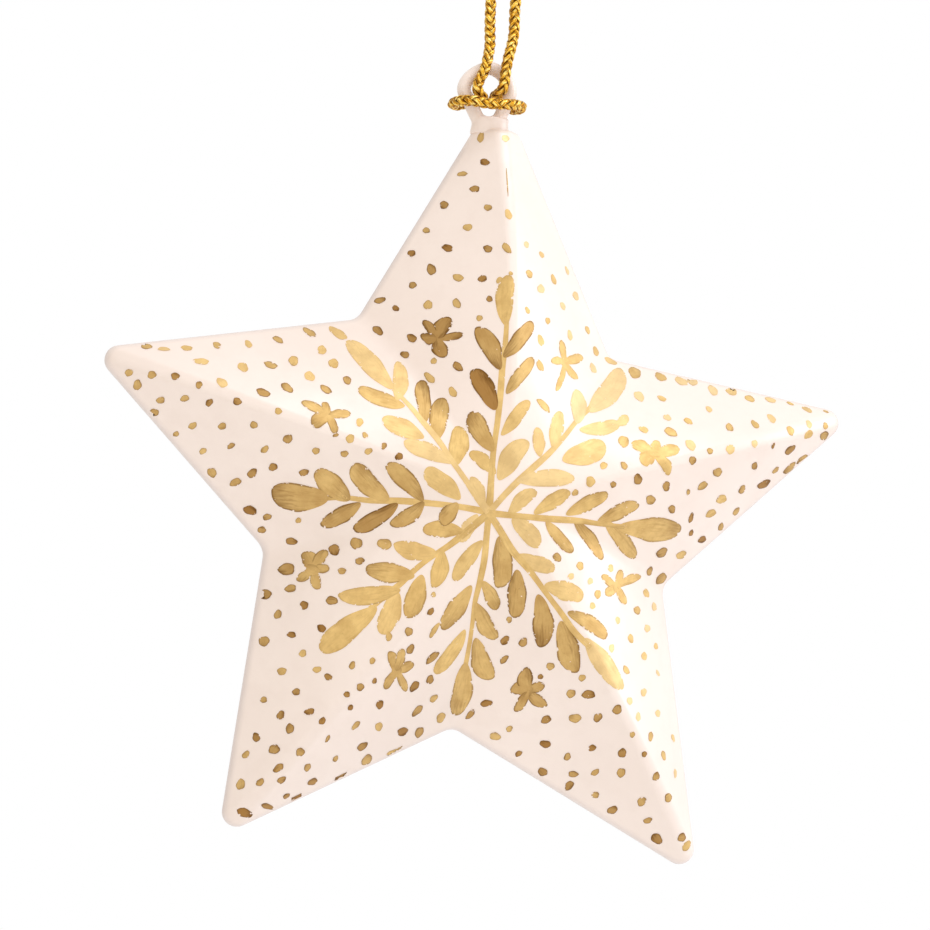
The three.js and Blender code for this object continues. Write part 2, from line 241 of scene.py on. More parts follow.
class Tree:
    """Short ways to add and join the nodes of a material, a world or a node group."""

    def __init__(self, tree):
        self.tree = tree
        self.shader = tree.nodes.get("Principled BSDF")

    def join(self, source, target):
        self.tree.links.new(source, target)

    def feed(self, socket, value):
        """Joins another socket to this one, or sets it to a number, a vector or a colour."""
        if isinstance(value, bpy.types.NodeSocket):
            self.join(value, socket)
        else:
            socket.default_value = (*value, 1.0) if socket.type == "RGBA" else value

    def add(self, kind, inputs=None, **settings):
        node = self.tree.nodes.new(kind)
        for key, value in settings.items():
            setattr(node, key, value)
        for key, value in (inputs or {}).items():
            self.feed(node.inputs[key], value)
        return node

    def surface(self, **sockets):
        """Sets or feeds the shader's sockets by name."""
        for name, value in sockets.items():
            self.feed(self.shader.inputs[name.replace("_", " ")], value)

    def place(self, scale=(1.0, 1.0, 1.0), source="Object"):
        """Coordinates in millimetres, scaled."""
        where = self.add("ShaderNodeTexCoord").outputs[source]
        size = 1 / MM if source == "Object" else 1.0
        mapping = self.add("ShaderNodeMapping", {"Vector": where, "Scale": tuple(s * size for s in scale)})
        return mapping.outputs["Vector"]

    def axis(self, name, source="Object"):
        """One of the three coordinates."""
        return self.add("ShaderNodeSeparateXYZ", {"Vector": self.place(source=source)}).outputs[name]

    def attribute(self, name):
        return self.add("ShaderNodeAttribute", attribute_name=name).outputs["Fac"]

    def group(self, group, vector):
        """The outputs of a shared node group at a place."""
        return self.add("ShaderNodeGroup", {"Vector": vector}, node_tree=group).outputs

    def noise(self, vector, scale, detail=3.0, rough=0.5, warp=0.0):
        node = self.add("ShaderNodeTexNoise", {
            "Vector": vector, "Scale": scale, "Detail": detail, "Roughness": rough, "Distortion": warp,
        })
        return node.outputs["Fac"]

    def ramp(self, value, *stops):
        """A colour ramp through (place, colour) stops."""
        node = self.add("ShaderNodeValToRGB", {"Fac": value})
        line = node.color_ramp
        while len(line.elements) < len(stops):
            line.elements.new(0.5)
        for element, (at, colour) in zip(line.elements, stops):
            element.position = at
            element.color = (*colour, 1.0)
        return node.outputs["Color"]

    def range(self, value, low, high, start=0.0, end=1.0):
        """A value that goes from low to high while the given one goes from start to end."""
        node = self.add("ShaderNodeMapRange", {
            "Value": value, "From Min": start, "From Max": end, "To Min": low, "To Max": high,
        })
        return node.outputs["Result"]

    def math(self, operation, a, b=0.0):
        return self.add("ShaderNodeMath", {0: a, 1: b}, operation=operation).outputs[0]

    def plus(self, a, b):
        return self.math("ADD", a, b)

    def times(self, a, b):
        return self.math("MULTIPLY", a, b)

    def mix(self, share, a, b):
        """Colour a turning into colour b by a share."""
        node = self.add("ShaderNodeMix", {0: share, 6: a, 7: b}, data_type="RGBA", clamp_result=True)
        return node.outputs[2]

    def bump(self, height, distance, strength):
        inputs = {"Height": height, "Distance": distance * MM, "Strength": strength}
        return self.add("ShaderNodeBump", inputs).outputs["Normal"]

    def seen(self):
        """1 for rays that show a surface itself: the camera's, a mirror's and a glass's."""
        light = self.add("ShaderNodeLightPath").outputs
        plain = self.math("MAXIMUM", light["Is Camera Ray"], light["Is Glossy Ray"])
        return self.math("MAXIMUM", plain, light["Is Transmission Ray"])


def new_material(name):
    """A node material, and its tree."""
    material = bpy.data.materials.new(name)
    material.use_nodes = True
    return material, Tree(material.node_tree)


# ---------------- shared grain
HAND_GRAIN = [
    # name, scale to the millimetre, detail, roughness
    ("Broad", 0.05, 2.0, 0.5), ("Cloud", 0.35, 4.0, 0.6), ("Fine", 5.5, 3.0, 0.6),
]


def hand_grain_group():
    """What a hand leaves in gesso, paint and pulp alike: broad tone, clouds and fine grain."""
    group = bpy.data.node_groups.new("hand_grain", "ShaderNodeTree")
    group.interface.new_socket("Vector", in_out="INPUT", socket_type="NodeSocketVector")
    for name, *_ in HAND_GRAIN:
        group.interface.new_socket(name, in_out="OUTPUT", socket_type="NodeSocketFloat")
    t = Tree(group)
    where = t.add("NodeGroupInput").outputs["Vector"]
    given = t.add("NodeGroupOutput").inputs
    for name, *grain in HAND_GRAIN:
        t.join(t.noise(where, *grain), given[name])
    return group


hand_grain = hand_grain_group()

# ---------------- gold yarn
YARN_STOPS = (0.3, (0.34, 0.11, 0.005)), (0.46, (0.72, 0.33, 0.016)), (0.62, (0.96, 0.60, 0.06))
# painted glint and painted shade for the flecks of the filaments
YARN_GLINT = (1.0, 0.80, 0.25)
YARN_SHADE = (0.24, 0.06, 0.002)
YARN_GROOVE_SHADE = (0.13, 0.026, 0.001)  # painted shade between two yarns and where a yarn dives under


def cord_finish():
    """Gold metallic yarn: fine filaments along each strand, bright on top, with painted shade at its sides
    and where it dives, and painted glints and shade in flecks.
    """
    material, t = new_material("gold_yarn")
    thread = t.noise(t.place((0.8, 26.0, 1.0), source="UV"), 1.0, 2.0)
    fleck = t.noise(t.place((1.9, 6.0, 1.0), source="UV"), 1.0, 3.0)
    gold = t.ramp(thread, *YARN_STOPS)
    # painted glints where the flecks are bright, painted shade where they are dark
    gold = t.mix(t.range(fleck, 0.0, 0.9, 0.51, 0.62), gold, YARN_GLINT)
    gold = t.mix(t.range(fleck, 0.8, 0.0, 0.38, 0.49), gold, YARN_SHADE)
    # painted shade: darker at each yarn's sides and underside, next to its neighbours, and where it dives
    # under another
    around = t.math("COSINE", t.times(t.axis("Y", "UV"), math.tau))
    dive_shade = t.range(t.attribute("depth"), 0.0, 1.0, 0.25, 0.8)
    groove_shade = t.math("MAXIMUM", t.range(around, 0.75, 0.0, 0.2, 0.75), dive_shade)
    t.surface(
        Base_Color=t.mix(groove_shade, gold, YARN_GROOVE_SHADE),
        Metallic=0.85,
        Specular_IOR_Level=0.1,
        Roughness=t.range(fleck, 0.55, 0.28, 0.3, 0.7),
        Normal=t.bump(t.plus(thread, t.times(fleck, 0.6)), 0.06, 0.9),
    )
    return material


gold_yarn = cord_finish()

# ---------------- cord
# The route of the CAD's cord, point by point, in millimetres: x, y, z
CORD_WIDE = 1.4
LEFT_STRAND = [
    (-0.9, 0, -2.35), (-0.9, 0, -3.8), (-1.3, 0.05, -8), (-2, 0.1, -15), (-2.6, 0.1, -23),
    (-2.85, 0.05, -31), (-2.65, -0.1, -39), (-2.1, -0.35, -46), (-1.4, -0.65, -51.5), (-1.25, -0.7, -53),
    (-1.25, -0.7, -54.4),
]
RIGHT_STRAND = [
    (0.9, 0, -2.35), (0.9, 0, -3.8), (1.35, -0.05, -8), (2.15, -0.1, -15), (2.9, -0.1, -23),
    (3.3, -0.15, -31), (3.15, -0.25, -39), (2.6, -0.45, -46), (1.85, -0.65, -51.5), (1.7, -0.7, -53),
    (1.7, -0.7, -54.4),
]
LEFT_HITCH = [
    (-1.2, -0.8, -56.2), (-1.25, -1.25, -57.8), (-1.55, -1.78, -59.35), (-1.9, -1.87, -60.9),
    (-2.45, -1.88, -62.15), (-2.7, -1.88, -63), (-2.35, -1.78, -63.75), (-1.8, -1.2, -63.95),
    (-1.6, -0.35, -63.88), (-1.6, 0.4, -63.86), (-1.95, 1.35, -64), (-2.9, 1.93, -64.4),
    (-3.9, 1.7, -64.75), (-4.78, 0.6, -64.88), (-4.85, -0.8, -64.85), (-4.45, -2.2, -64.8),
    (-3.45, -3.2, -64.85), (-2, -3.5, -65), (-0.6, -3.5, -65),
]
RIGHT_HITCH = [
    (1.7, -0.8, -56), (1.38, -1.25, -57.6), (0.92, -1.78, -59.1), (0.65, -1.88, -60.7),
    (0.55, -1.88, -62.1), (0.4, -1.84, -62.9), (0.15, -1.2, -63.4), (0.06, -0.35, -63.58),
    (0.08, 0.55, -63.7), (0.6, 1.48, -64.05), (1.6, 1.93, -64.5), (2.65, 1.42, -64.7), (3.15, 0.1, -64.75),
    (2.88, -1.3, -64.7), (1.95, -2.5, -64.75), (0.7, -3.3, -64.9), (-0.6, -3.5, -65),
]
CORD_TOP = Vector((0, 0, 1.25))  # how far each strand goes on into the knot
YARNS = 4  # yarns that turn each way
BRAID_PITCH = 3.9  # length of one full turn of a yarn
YARN_ORBIT = 0.41  # radius of a yarn's middle line
YARN_DIVE = 0.11  # how far it rises and dives as yarns cross
YARN_HALF_WIDE = 0.29
YARN_HALF_THICK = 0.17
YARN_SIDES = 8
CORD_STEP = 0.21  # spacing of sections along the cord
FIBRE_SPANS = 4  # a fibre wanders this many times
FIBRE_SECTIONS = 7
FIBRE_SIDES = 3
FIBRE_THICK = 0.022  # half the thickness of a stray fibre
FIBRE_TAPER = 0.6
FIBRE_CURL = 0.5  # how much it bends its own way at each turn
FIBRE_WANDER = 0.45  # and any way
FIBRE_DEPTH = 0.1  # shaded as if this deep between the yarns
STRAYS = 10  # stray fibres on each cord
STRAY_ROOT = 0.42  # where one starts, as a share of the cord's width from its middle line
STRAY_LONG = (0.7, 1.7)
STRAY_LEAN = 1.4  # how much one lies along the cord


def braid(whole, line, closed=False, tight=1.0):
    """Lays a round braid of eight yarns, two over and two under, along a line."""
    frames = line_frames(line, closed)
    count = len(line)
    length = line_length(line) + ((line[0] - line[-1]).length if closed else 0.0)
    step = length / (count if closed else count - 1)
    pitch = length / max(1, round(length / BRAID_PITCH)) if closed else BRAID_PITCH
    lean = math.atan(math.tau * YARN_ORBIT * tight / pitch)
    for way in (1, -1):
        for yarn in range(YARNS):
            rows = []
            depths = []
            for i, (centre, (along, side)) in enumerate(zip(line, frames)):
                travel = math.tau * i * step / pitch
                turn = yarn * math.pi / 2 + way * travel
                wave = math.cos(2 * travel + way * math.pi * yarn + (0.5 - 0.75 * way) * math.pi)
                out = outwards(along, side, turn)
                round_way = along.cross(out)
                wide = round_way * math.cos(lean) - along * way * math.sin(lean)
                middle = centre + out * (YARN_ORBIT + YARN_DIVE * wave) * tight
                rows.append([
                    middle + out * YARN_HALF_THICK * tight * c + wide * YARN_HALF_WIDE * tight * s
                    for c, s in circle(YARN_SIDES)
                ])
                # how deep the yarn dives, which the finish paints as shade
                depths += [0.5 - 0.5 * wave] * YARN_SIDES
            bm = loft(rows, closed)
            lay_uv(bm, count, YARN_SIDES, step, closed)
            layer = bm.verts.layers.float.new("depth")
            for vert in bm.verts:
                vert[layer] = depths[vert.index] if vert.index < len(depths) else 0.5
            add_into(whole, bm)


def fibre(whole, start, out, curl, length, rng, thick=FIBRE_THICK):
    """One fibre that stands away from the cord."""
    points = [start]
    heading = out.normalized()
    for _ in range(FIBRE_SPANS):
        wander = Vector((rng.uniform(-1, 1), rng.uniform(-1, 1), rng.uniform(-1, 1)))
        heading = (heading + curl * FIBRE_CURL + wander * FIBRE_WANDER).normalized()
        points.append(points[-1] + heading * length / FIBRE_SPANS)
    line = smooth_line(points, length / FIBRE_SECTIONS)
    rows = []
    for i, (centre, (along, side)) in enumerate(zip(line, line_frames(line))):
        radius = thick * (1.0 - FIBRE_TAPER * i / len(line))
        across = along.cross(side)
        rows.append([centre + (side * c + across * s) * radius for c, s in circle(FIBRE_SIDES)])
    bm = loft(rows)
    lay_uv(bm, len(rows), FIBRE_SIDES, length / FIBRE_SECTIONS)
    unwrap = bm.loops.layers.uv["along"]
    for face in bm.faces:
        for loop in face.loops:
            loop[unwrap].uv.y = 0.0
    layer = bm.verts.layers.float.new("depth")
    for vert in bm.verts:
        vert[layer] = FIBRE_DEPTH
    add_into(whole, bm)


def stray_fibres(whole, line, seed):
    """Stray fibres at seeded places along a cord."""
    rng = random.Random(seed)
    frames = line_frames(line)
    for _ in range(STRAYS):
        i = rng.randrange(4, len(line) - 4)
        along, side = frames[i]
        turn = rng.uniform(0, math.tau)
        out = outwards(along, side, turn)
        start = line[i] + out * CORD_WIDE * STRAY_ROOT
        lean = along * rng.choice((-STRAY_LEAN, STRAY_LEAN))
        fibre(whole, start, out + lean, -out, rng.uniform(*STRAY_LONG), rng)


def make_cord(name, strand, hitch, seed):
    """One half of the hanging loop: from the middle of the hitch's bar up to the knot."""
    route = list(reversed(hitch)) + list(reversed(strand)) + [Vector(strand[0]) + CORD_TOP]
    line = smooth_line(route, CORD_STEP)
    bm = bmesh.new()
    braid(bm, line)
    stray_fibres(bm, line, seed)
    return finish_piece(name, bm, gold_yarn), line


left_cord, left_line = make_cord("cord_loop_left", LEFT_STRAND, LEFT_HITCH, 3)
right_cord, right_line = make_cord("cord_loop_right", RIGHT_STRAND, RIGHT_HITCH, 8)

# ---------------- knot
KNOT_RINGS = [
    # lean, twist, slide along the ring's own axis
    (0.50, 0.35, -0.62), (0.50, 0.35, 0.62), (-0.55, -0.35, -0.62), (-0.55, -0.35, 0.62),
    (math.pi / 2, 0.2, 0.0),
]
KNOT_ROUND = 1.36  # radius of a ring's middle line
KNOT_TIGHT = 0.93
KNOT_STEPS = 40
KNOT_SHADE_BALL = 1.5  # radius of a ball inside the rings, painted dark as the shade that shows between them
# how dark the ball is painted, as the shade between the rings
SHADE_BALL_DEPTH = 0.9
LEFT_TAIL = [(-0.35, 0, 0.2), (-0.6, 0, 1.4), (-0.9, -0.1, 3.2), (-1.6, -0.3, 5.4), (-2.3, -0.3, 7.2)]
RIGHT_TAIL = [(0.35, 0, 0.2), (0.6, 0, 1.4), (0.9, 0.1, 3.2), (1.3, 0.3, 5.6), (1.9, 0.3, 7.7)]
FRAY_FIBRES = 46
FRAY_LONG = 2.2
FRAY_SPREAD = (0.75, 1.1)
FRAY_THICK = 0.035


def fray(whole, line, seed):
    """The cut end of the cord: its yarns open into a short brush of fibres."""
    rng = random.Random(seed)
    along, side = line_frames(line)[-1]
    for _ in range(FRAY_FIBRES):
        turn = rng.uniform(0, math.tau)
        reach = math.sqrt(rng.random())
        out = outwards(along, side, turn)
        start = line[-1] - along * 0.5 + out * reach * CORD_WIDE * 0.4
        heading = along * 1.3 + out * reach * 0.7
        fibre(whole, start, heading, along * 0.5, FRAY_LONG * rng.uniform(*FRAY_SPREAD), rng, FRAY_THICK)


def make_knot():
    """The knot that closes the loop: doubled wraps drawn tight, with both frayed ends above."""
    bm = bmesh.new()
    for lean, twist, slide in KNOT_RINGS:
        place = Matrix.Rotation(twist, 3, "Y") @ Matrix.Rotation(lean, 3, "X")
        radius = math.sqrt(max(KNOT_ROUND ** 2 - slide ** 2 * 0.35, 0.2))
        ring = [place @ Vector((radius * c, radius * s, slide)) for c, s in circle(KNOT_STEPS)]
        braid(bm, ring, closed=True, tight=KNOT_TIGHT)
    # a ball inside the wraps, painted dark as the shade between them
    shade_ball = bmesh.ops.create_uvsphere(bm, u_segments=20, v_segments=12, radius=KNOT_SHADE_BALL)["verts"]
    depth = bm.verts.layers.float.get("depth")
    for vert in shade_ball:
        vert[depth] = SHADE_BALL_DEPTH
    for tail, seed in ((LEFT_TAIL, 21), (RIGHT_TAIL, 22)):
        line = smooth_line(tail, CORD_STEP)
        braid(bm, line)
        fray(bm, line, seed)
    return finish_piece("cord_knot_tied", bm, gold_yarn)


knot = make_knot()

# ---------------- star
TIP_REACH = 49.2
NOTCH_REACH = 25.0
TIP_ROUND = 1.7
NOTCH_ROUND = 2.2
# How far each tip and notch is off the plain star, clockwise from the top: millimetres and degrees
TIP_EXTRA = [0.2, -0.9, 0.9, -0.9, -0.5]
TIP_TURN = [0.6, 0.4, 0.2, -0.4, 0.2]
NOTCH_EXTRA = [-0.6, -0.7, 0.1, 0.3, 0.9]
NOTCH_TURN = [3.3, -0.8, 2.6, 3.9, 0.5]
CROWN = 14.5  # height of the star's middle above the seam
FULLNESS = 2.1  # how domed the facets are
LIP_ROUND = 1.8  # radius of the rounded edge
LIP_TURN = 40.0  # the facets start this many degrees round it
WALL = 2.2
STRIP_THICK = 0.5
STRIP_HALF = 0.85
STRIP_PROUD = 0.003  # the seam strip stands this far above the shells' lips
SEAM_GAP = 0.006  # hairline between strip and shells
TOP_CUT = 5.1  # how much of the top point the neck's seat takes off
SEAT_Z = STAR_MIDDLE.z + TIP_REACH + TIP_EXTRA[0] - TOP_CUT
NECK_X = -0.4
SHOULDER = 0.75  # rounding of the top point where the neck stands on it
SHOULDER_PULL = 0.75
SHOULDER_CUTS = (1.0, 0.8, 0.6, 0.42, 0.26, 0.13, 0.04, 0.0)
ARC_STEPS = 9
EDGE_STEPS = 36
DOME_ROWS = 46
DOME_START = 0.02  # the facets' first ring, as a share of the outline
DOME_SPREAD = 0.9  # rows lie a little closer towards the edge
LIP_ROWS = (0.25, 0.5, 0.75, 1.0)
CAVITY_ROWS = (0.1, 0.3, 0.5, 0.7, 0.85, 1.0)
DOME_SMOOTHING = 3  # passes that soften the ridges and valleys
HAND_WAVE = 0.10  # unevenness of the hand-smoothed gesso
SLOW_WAVE, QUICK_WAVE, QUICK_SHARE = 0.075, 0.24, 0.35  # its two waves to the millimetre


def star_corners():
    """The ten sharp corners in the star's own plane, tip and notch in turn, clockwise from the top."""
    corners = []
    for i in range(5):
        tip = (72 * i + TIP_TURN[i], TIP_REACH + TIP_EXTRA[i])
        notch = (72 * (i + 0.5) + NOTCH_TURN[i], NOTCH_REACH + NOTCH_EXTRA[i])
        for turn, reach in (tip, notch):
            turn = math.radians(turn)
            corners.append(Vector((math.sin(turn), math.cos(turn))) * reach)
    return corners


def inset_corners(corners, inset):
    """The same corners with every edge moved inwards."""
    lines = []
    for here, ahead in zip(corners, corners[1:] + corners[:1]):
        along = (ahead - here).normalized()
        lines.append((here + Vector((along.y, -along.x)) * inset, along))
    moved = []
    for i, (point, along) in enumerate(lines):
        before, before_along = lines[i - 1]
        reach = (point - before).cross(along) / before_along.cross(along)
        moved.append(before + before_along * reach)
    return moved


def outline(inset):
    """A closed outline with rounded corners, the same number of points at any inset."""
    corners = inset_corners(star_corners(), inset)
    count = len(corners)
    arcs = []
    for i, corner in enumerate(corners):
        tip = i % 2 == 0
        radius = max(TIP_ROUND - inset, TIP_ROUND / 3) if tip else NOTCH_ROUND + inset
        back = (corners[i - 1] - corner).normalized()
        ahead = (corners[(i + 1) % count] - corner).normalized()
        half = math.acos(back.dot(ahead)) / 2
        centre = corner + (back + ahead).normalized() * (radius / math.sin(half))
        start = corner + back * (radius / math.tan(half)) - centre
        turn = (-1 if tip else 1) * (math.pi - 2 * half)
        arcs.append([
            centre + Matrix.Rotation(turn * k / ARC_STEPS, 2) @ start for k in range(ARC_STEPS + 1)
        ])
    ring = []
    for i, arc in enumerate(arcs):
        following = arcs[(i + 1) % count][0]
        ring += arc
        ring += [arc[-1].lerp(following, k / EDGE_STEPS) for k in range(1, EDGE_STEPS)]
    return ring


def row(ring, scale, y):
    return [Vector((p.x * scale, y, p.y * scale + STAR_MIDDLE.z)) for p in ring]


def lip(turn, proud=0.0):
    """Inset and height of the rounded lip at an angle from the seam plane."""
    turn = math.radians(turn)
    return LIP_ROUND * (1 - math.cos(turn)) - proud, LIP_ROUND * math.sin(turn)


def dome_rows(inset, base, crown, scales, side):
    ring = outline(inset)
    return [row(ring, t, side * (base + (crown - base) * (1 - t ** FULLNESS))) for t in scales]


def uneven(point, seed):
    """The slow waves that a hand leaves in gesso, in millimetres."""
    slow = noise.noise(point * SLOW_WAVE + Vector((seed, 0, 0)))
    quick = noise.noise(point * QUICK_WAVE + Vector((0, seed, 0)))
    return HAND_WAVE * (slow + QUICK_SHARE * quick)


def cut_seat(bm):
    """Cuts the top point flat where the neck stands, closes it and rounds the shoulder."""
    for share in SHOULDER_CUTS:
        bmesh.ops.bisect_plane(
            bm,
            geom=bm.verts[:] + bm.edges[:] + bm.faces[:],
            plane_co=(0, 0, SEAT_Z - share * SHOULDER),
            plane_no=(0, 0, 1),
            clear_outer=share == 0.0,
        )
    bmesh.ops.holes_fill(bm, edges=[e for e in bm.edges if e.is_boundary], sides=0)
    for vert in bm.verts:
        rise = (vert.co.z - (SEAT_Z - SHOULDER)) / SHOULDER
        if rise > 0:
            away = Vector((vert.co.x - NECK_X, vert.co.y))
            pull = SHOULDER * SHOULDER_PULL * (1 - math.sqrt(max(1 - min(rise, 1.0) ** 2, 0)))
            share = max(1 - pull / max(away.length, 1.0), 0.2)
            vert.co.x = NECK_X + away.x * share
            vert.co.y = away.y * share


def make_half(name, side, material):
    """One moulded half: domed facets over the lip, the rebate for the strip, and the hollow behind."""
    strip_turn = math.degrees(math.asin((STRIP_HALF + SEAM_GAP) / LIP_ROUND))
    inset, base = lip(LIP_TURN)
    scales = [DOME_START + (1 - DOME_START) * (k / DOME_ROWS) ** DOME_SPREAD for k in range(DOME_ROWS + 1)]
    rows = dome_rows(inset, base, CROWN, scales, side)
    for share in LIP_ROWS:
        inset, height = lip(LIP_TURN + (strip_turn - LIP_TURN) * share)
        rows.append(row(outline(inset), 1, side * height))
    back = outline(STRIP_THICK + SEAM_GAP)
    rows.append(row(back, 1, side * height))
    rows.append(row(back, 1, side * SEAM_GAP / 2))
    rows += reversed(dome_rows(WALL, SEAM_GAP / 2, CROWN - WALL, CAVITY_ROWS, side))
    bm = loft(rows)
    bm.verts.index_update()
    bm.verts.ensure_lookup_table()
    dome = bm.verts[: DOME_ROWS * len(rows[0])]
    for _ in range(DOME_SMOOTHING):
        bmesh.ops.smooth_vert(bm, verts=dome, factor=0.5, use_axis_y=True)
    for vert in dome:
        vert.co.y += side * uneven(vert.co, 3.0 * side)
    cut_seat(bm)
    return finish_piece(name, bm, material, crisp=True)


def make_strip(material):
    """The paper strip glued over the seam, open where the neck stands."""
    widest = math.degrees(math.asin(STRIP_HALF / LIP_ROUND))
    rows = []
    for k in range(9):
        share = k / 4 - 1
        inset, height = lip(widest * share, STRIP_PROUD if abs(share) < 1 else STRIP_PROUD / 2)
        rows.append(row(outline(inset), 1, height))
    back = outline(STRIP_THICK)
    rows += [row(back, 1, STRIP_HALF), row(back, 1, -STRIP_HALF)]
    bm = loft(rows, closed=True)
    cut_seat(bm)
    return finish_piece("seam_band", bm, material, crisp=True)


CREAM = (0.89, 0.745, 0.64)
CREAM_LIGHT = (0.93, 0.79, 0.685)
CREAM_CLOUD = (0.86, 0.715, 0.61)
SEAM_PAINTED_SHADE = (0.73, 0.615, 0.55)
RIM_SHADE_REACH = (0.1, 1.3)  # painted shade: the gesso is greyer this near to the seam, where its rounded edge turns away
RIM_SHADE_TOP = (SEAT_Z - 3, SEAT_Z - 1)  # but not on the neck and the eye


def shell_finish():
    """Cream gesso under a satin lacquer, a little uneven in tone and surface, with painted shade greying it
    towards the seam.
    """
    material, t = new_material("cream_gesso")
    grain = t.group(hand_grain, t.place())
    broad, cloud, fine = grain["Broad"], grain["Cloud"], grain["Fine"]
    cream = t.mix(t.range(broad, 0.0, 1.0, 0.3, 0.7), CREAM, CREAM_LIGHT)
    cream = t.mix(t.range(cloud, 0.0, 0.5, 0.45, 0.75), cream, CREAM_CLOUD)
    # painted shade along the rounded edge: greyer near the seam plane, but not up on the neck and eye
    depth = t.math("ABSOLUTE", t.axis("Y"))
    rim = t.times(t.range(depth, 1.0, 0.0, *RIM_SHADE_REACH), t.range(t.axis("Z"), 1.0, 0.0, *RIM_SHADE_TOP))
    t.surface(
        Base_Color=t.mix(rim, cream, SEAM_PAINTED_SHADE),
        Roughness=t.range(cloud, 0.38, 0.5, 0.3, 0.7),
        Coat_Weight=0.25,
        Coat_Roughness=0.25,
        Normal=t.bump(t.plus(t.times(cloud, 0.8), t.times(fine, 0.12)), 0.12, 0.35),
    )
    return material


gesso = shell_finish()
front_half = make_half("front_half", -1, gesso)
rear_half = make_half("rear_half", 1, gesso)
seam_band = make_strip(gesso)

# ---------------- eye
EYE_X = -0.7
LIMB_ROUND = 0.8  # half the eye's limb across
LIMB_DEPTH = 1.15  # and it is this much thicker from front to rear
LIMB_SIDES = 20
# The limb's middle line from foot to top: distance from the eye's middle, height above the seat
EYE_FOOT = (0, 0.9)
EYE_RIGHT = [(1.12, 1.25), (1.68, 2.2), (2.12, 3.3), (2.52, 4.5), (2.18, 5.82), (1.27, 6.83)]
EYE_LEFT = [(1.12, 1.25), (1.73, 2.2), (2.37, 3.3), (3.07, 4.5), (2.68, 5.7), (1.47, 6.78)]
EYE_TOP = (0, 7.32)
# Neck, foot to top: half width, height above the seat
NECK_LINE = [
    (2.32, -0.5), (2.3, -0.2), (2.24, 0.1), (2.18, 0.45), (2.16, 0.9), (2.22, 1.25), (2.12, 1.5),
]
NECK_DEPTH = 0.8  # the neck is this much thinner from front to rear
NECK_SIDES = 40
EYE_STEP = 0.3
EYE_VOXEL = 0.11
EYE_SOFTENING = 10


def settle(piece):
    """Applies a piece's modifiers to its mesh."""
    graph = bpy.context.evaluated_depsgraph_get()
    mesh = bpy.data.meshes.new_from_object(piece.evaluated_get(graph))
    piece.modifiers.clear()
    old = piece.data
    piece.data = mesh
    mesh.name = piece.name
    bpy.data.meshes.remove(old)


def make_eye(material):
    """The gessoed eye and its waisted neck, melted into one skin."""
    loop = [EYE_FOOT, *EYE_RIGHT, EYE_TOP, *((-x, z) for x, z in reversed(EYE_LEFT))]
    line = smooth_line([(EYE_X + x, 0, SEAT_Z + z) for x, z in loop], EYE_STEP, closed=True)
    front = Vector((0, -1, 0))
    rows = []
    for i, centre in enumerate(line):
        outward = (line[(i + 1) % len(line)] - line[i - 1]).normalized().cross(front)
        rows.append([
            centre + outward * LIMB_ROUND * c + front * LIMB_ROUND * LIMB_DEPTH * s
            for c, s in circle(LIMB_SIDES)
        ])
    bm = loft(rows, closed=True)
    add_into(bm, loft([
        [Vector((NECK_X + half * c, half * NECK_DEPTH * s, SEAT_Z + z)) for c, s in circle(NECK_SIDES)]
        for half, z in NECK_LINE
    ]))
    piece = finish_piece("eye_and_neck", bm, material)
    remesh = piece.modifiers.new("melt", "REMESH")
    remesh.mode = "VOXEL"
    remesh.voxel_size = EYE_VOXEL * MM
    remesh.use_smooth_shade = True
    soften = piece.modifiers.new("soften", "SMOOTH")
    soften.factor = 0.5
    soften.iterations = EYE_SOFTENING
    settle(piece)
    return piece


eye = make_eye(gesso)
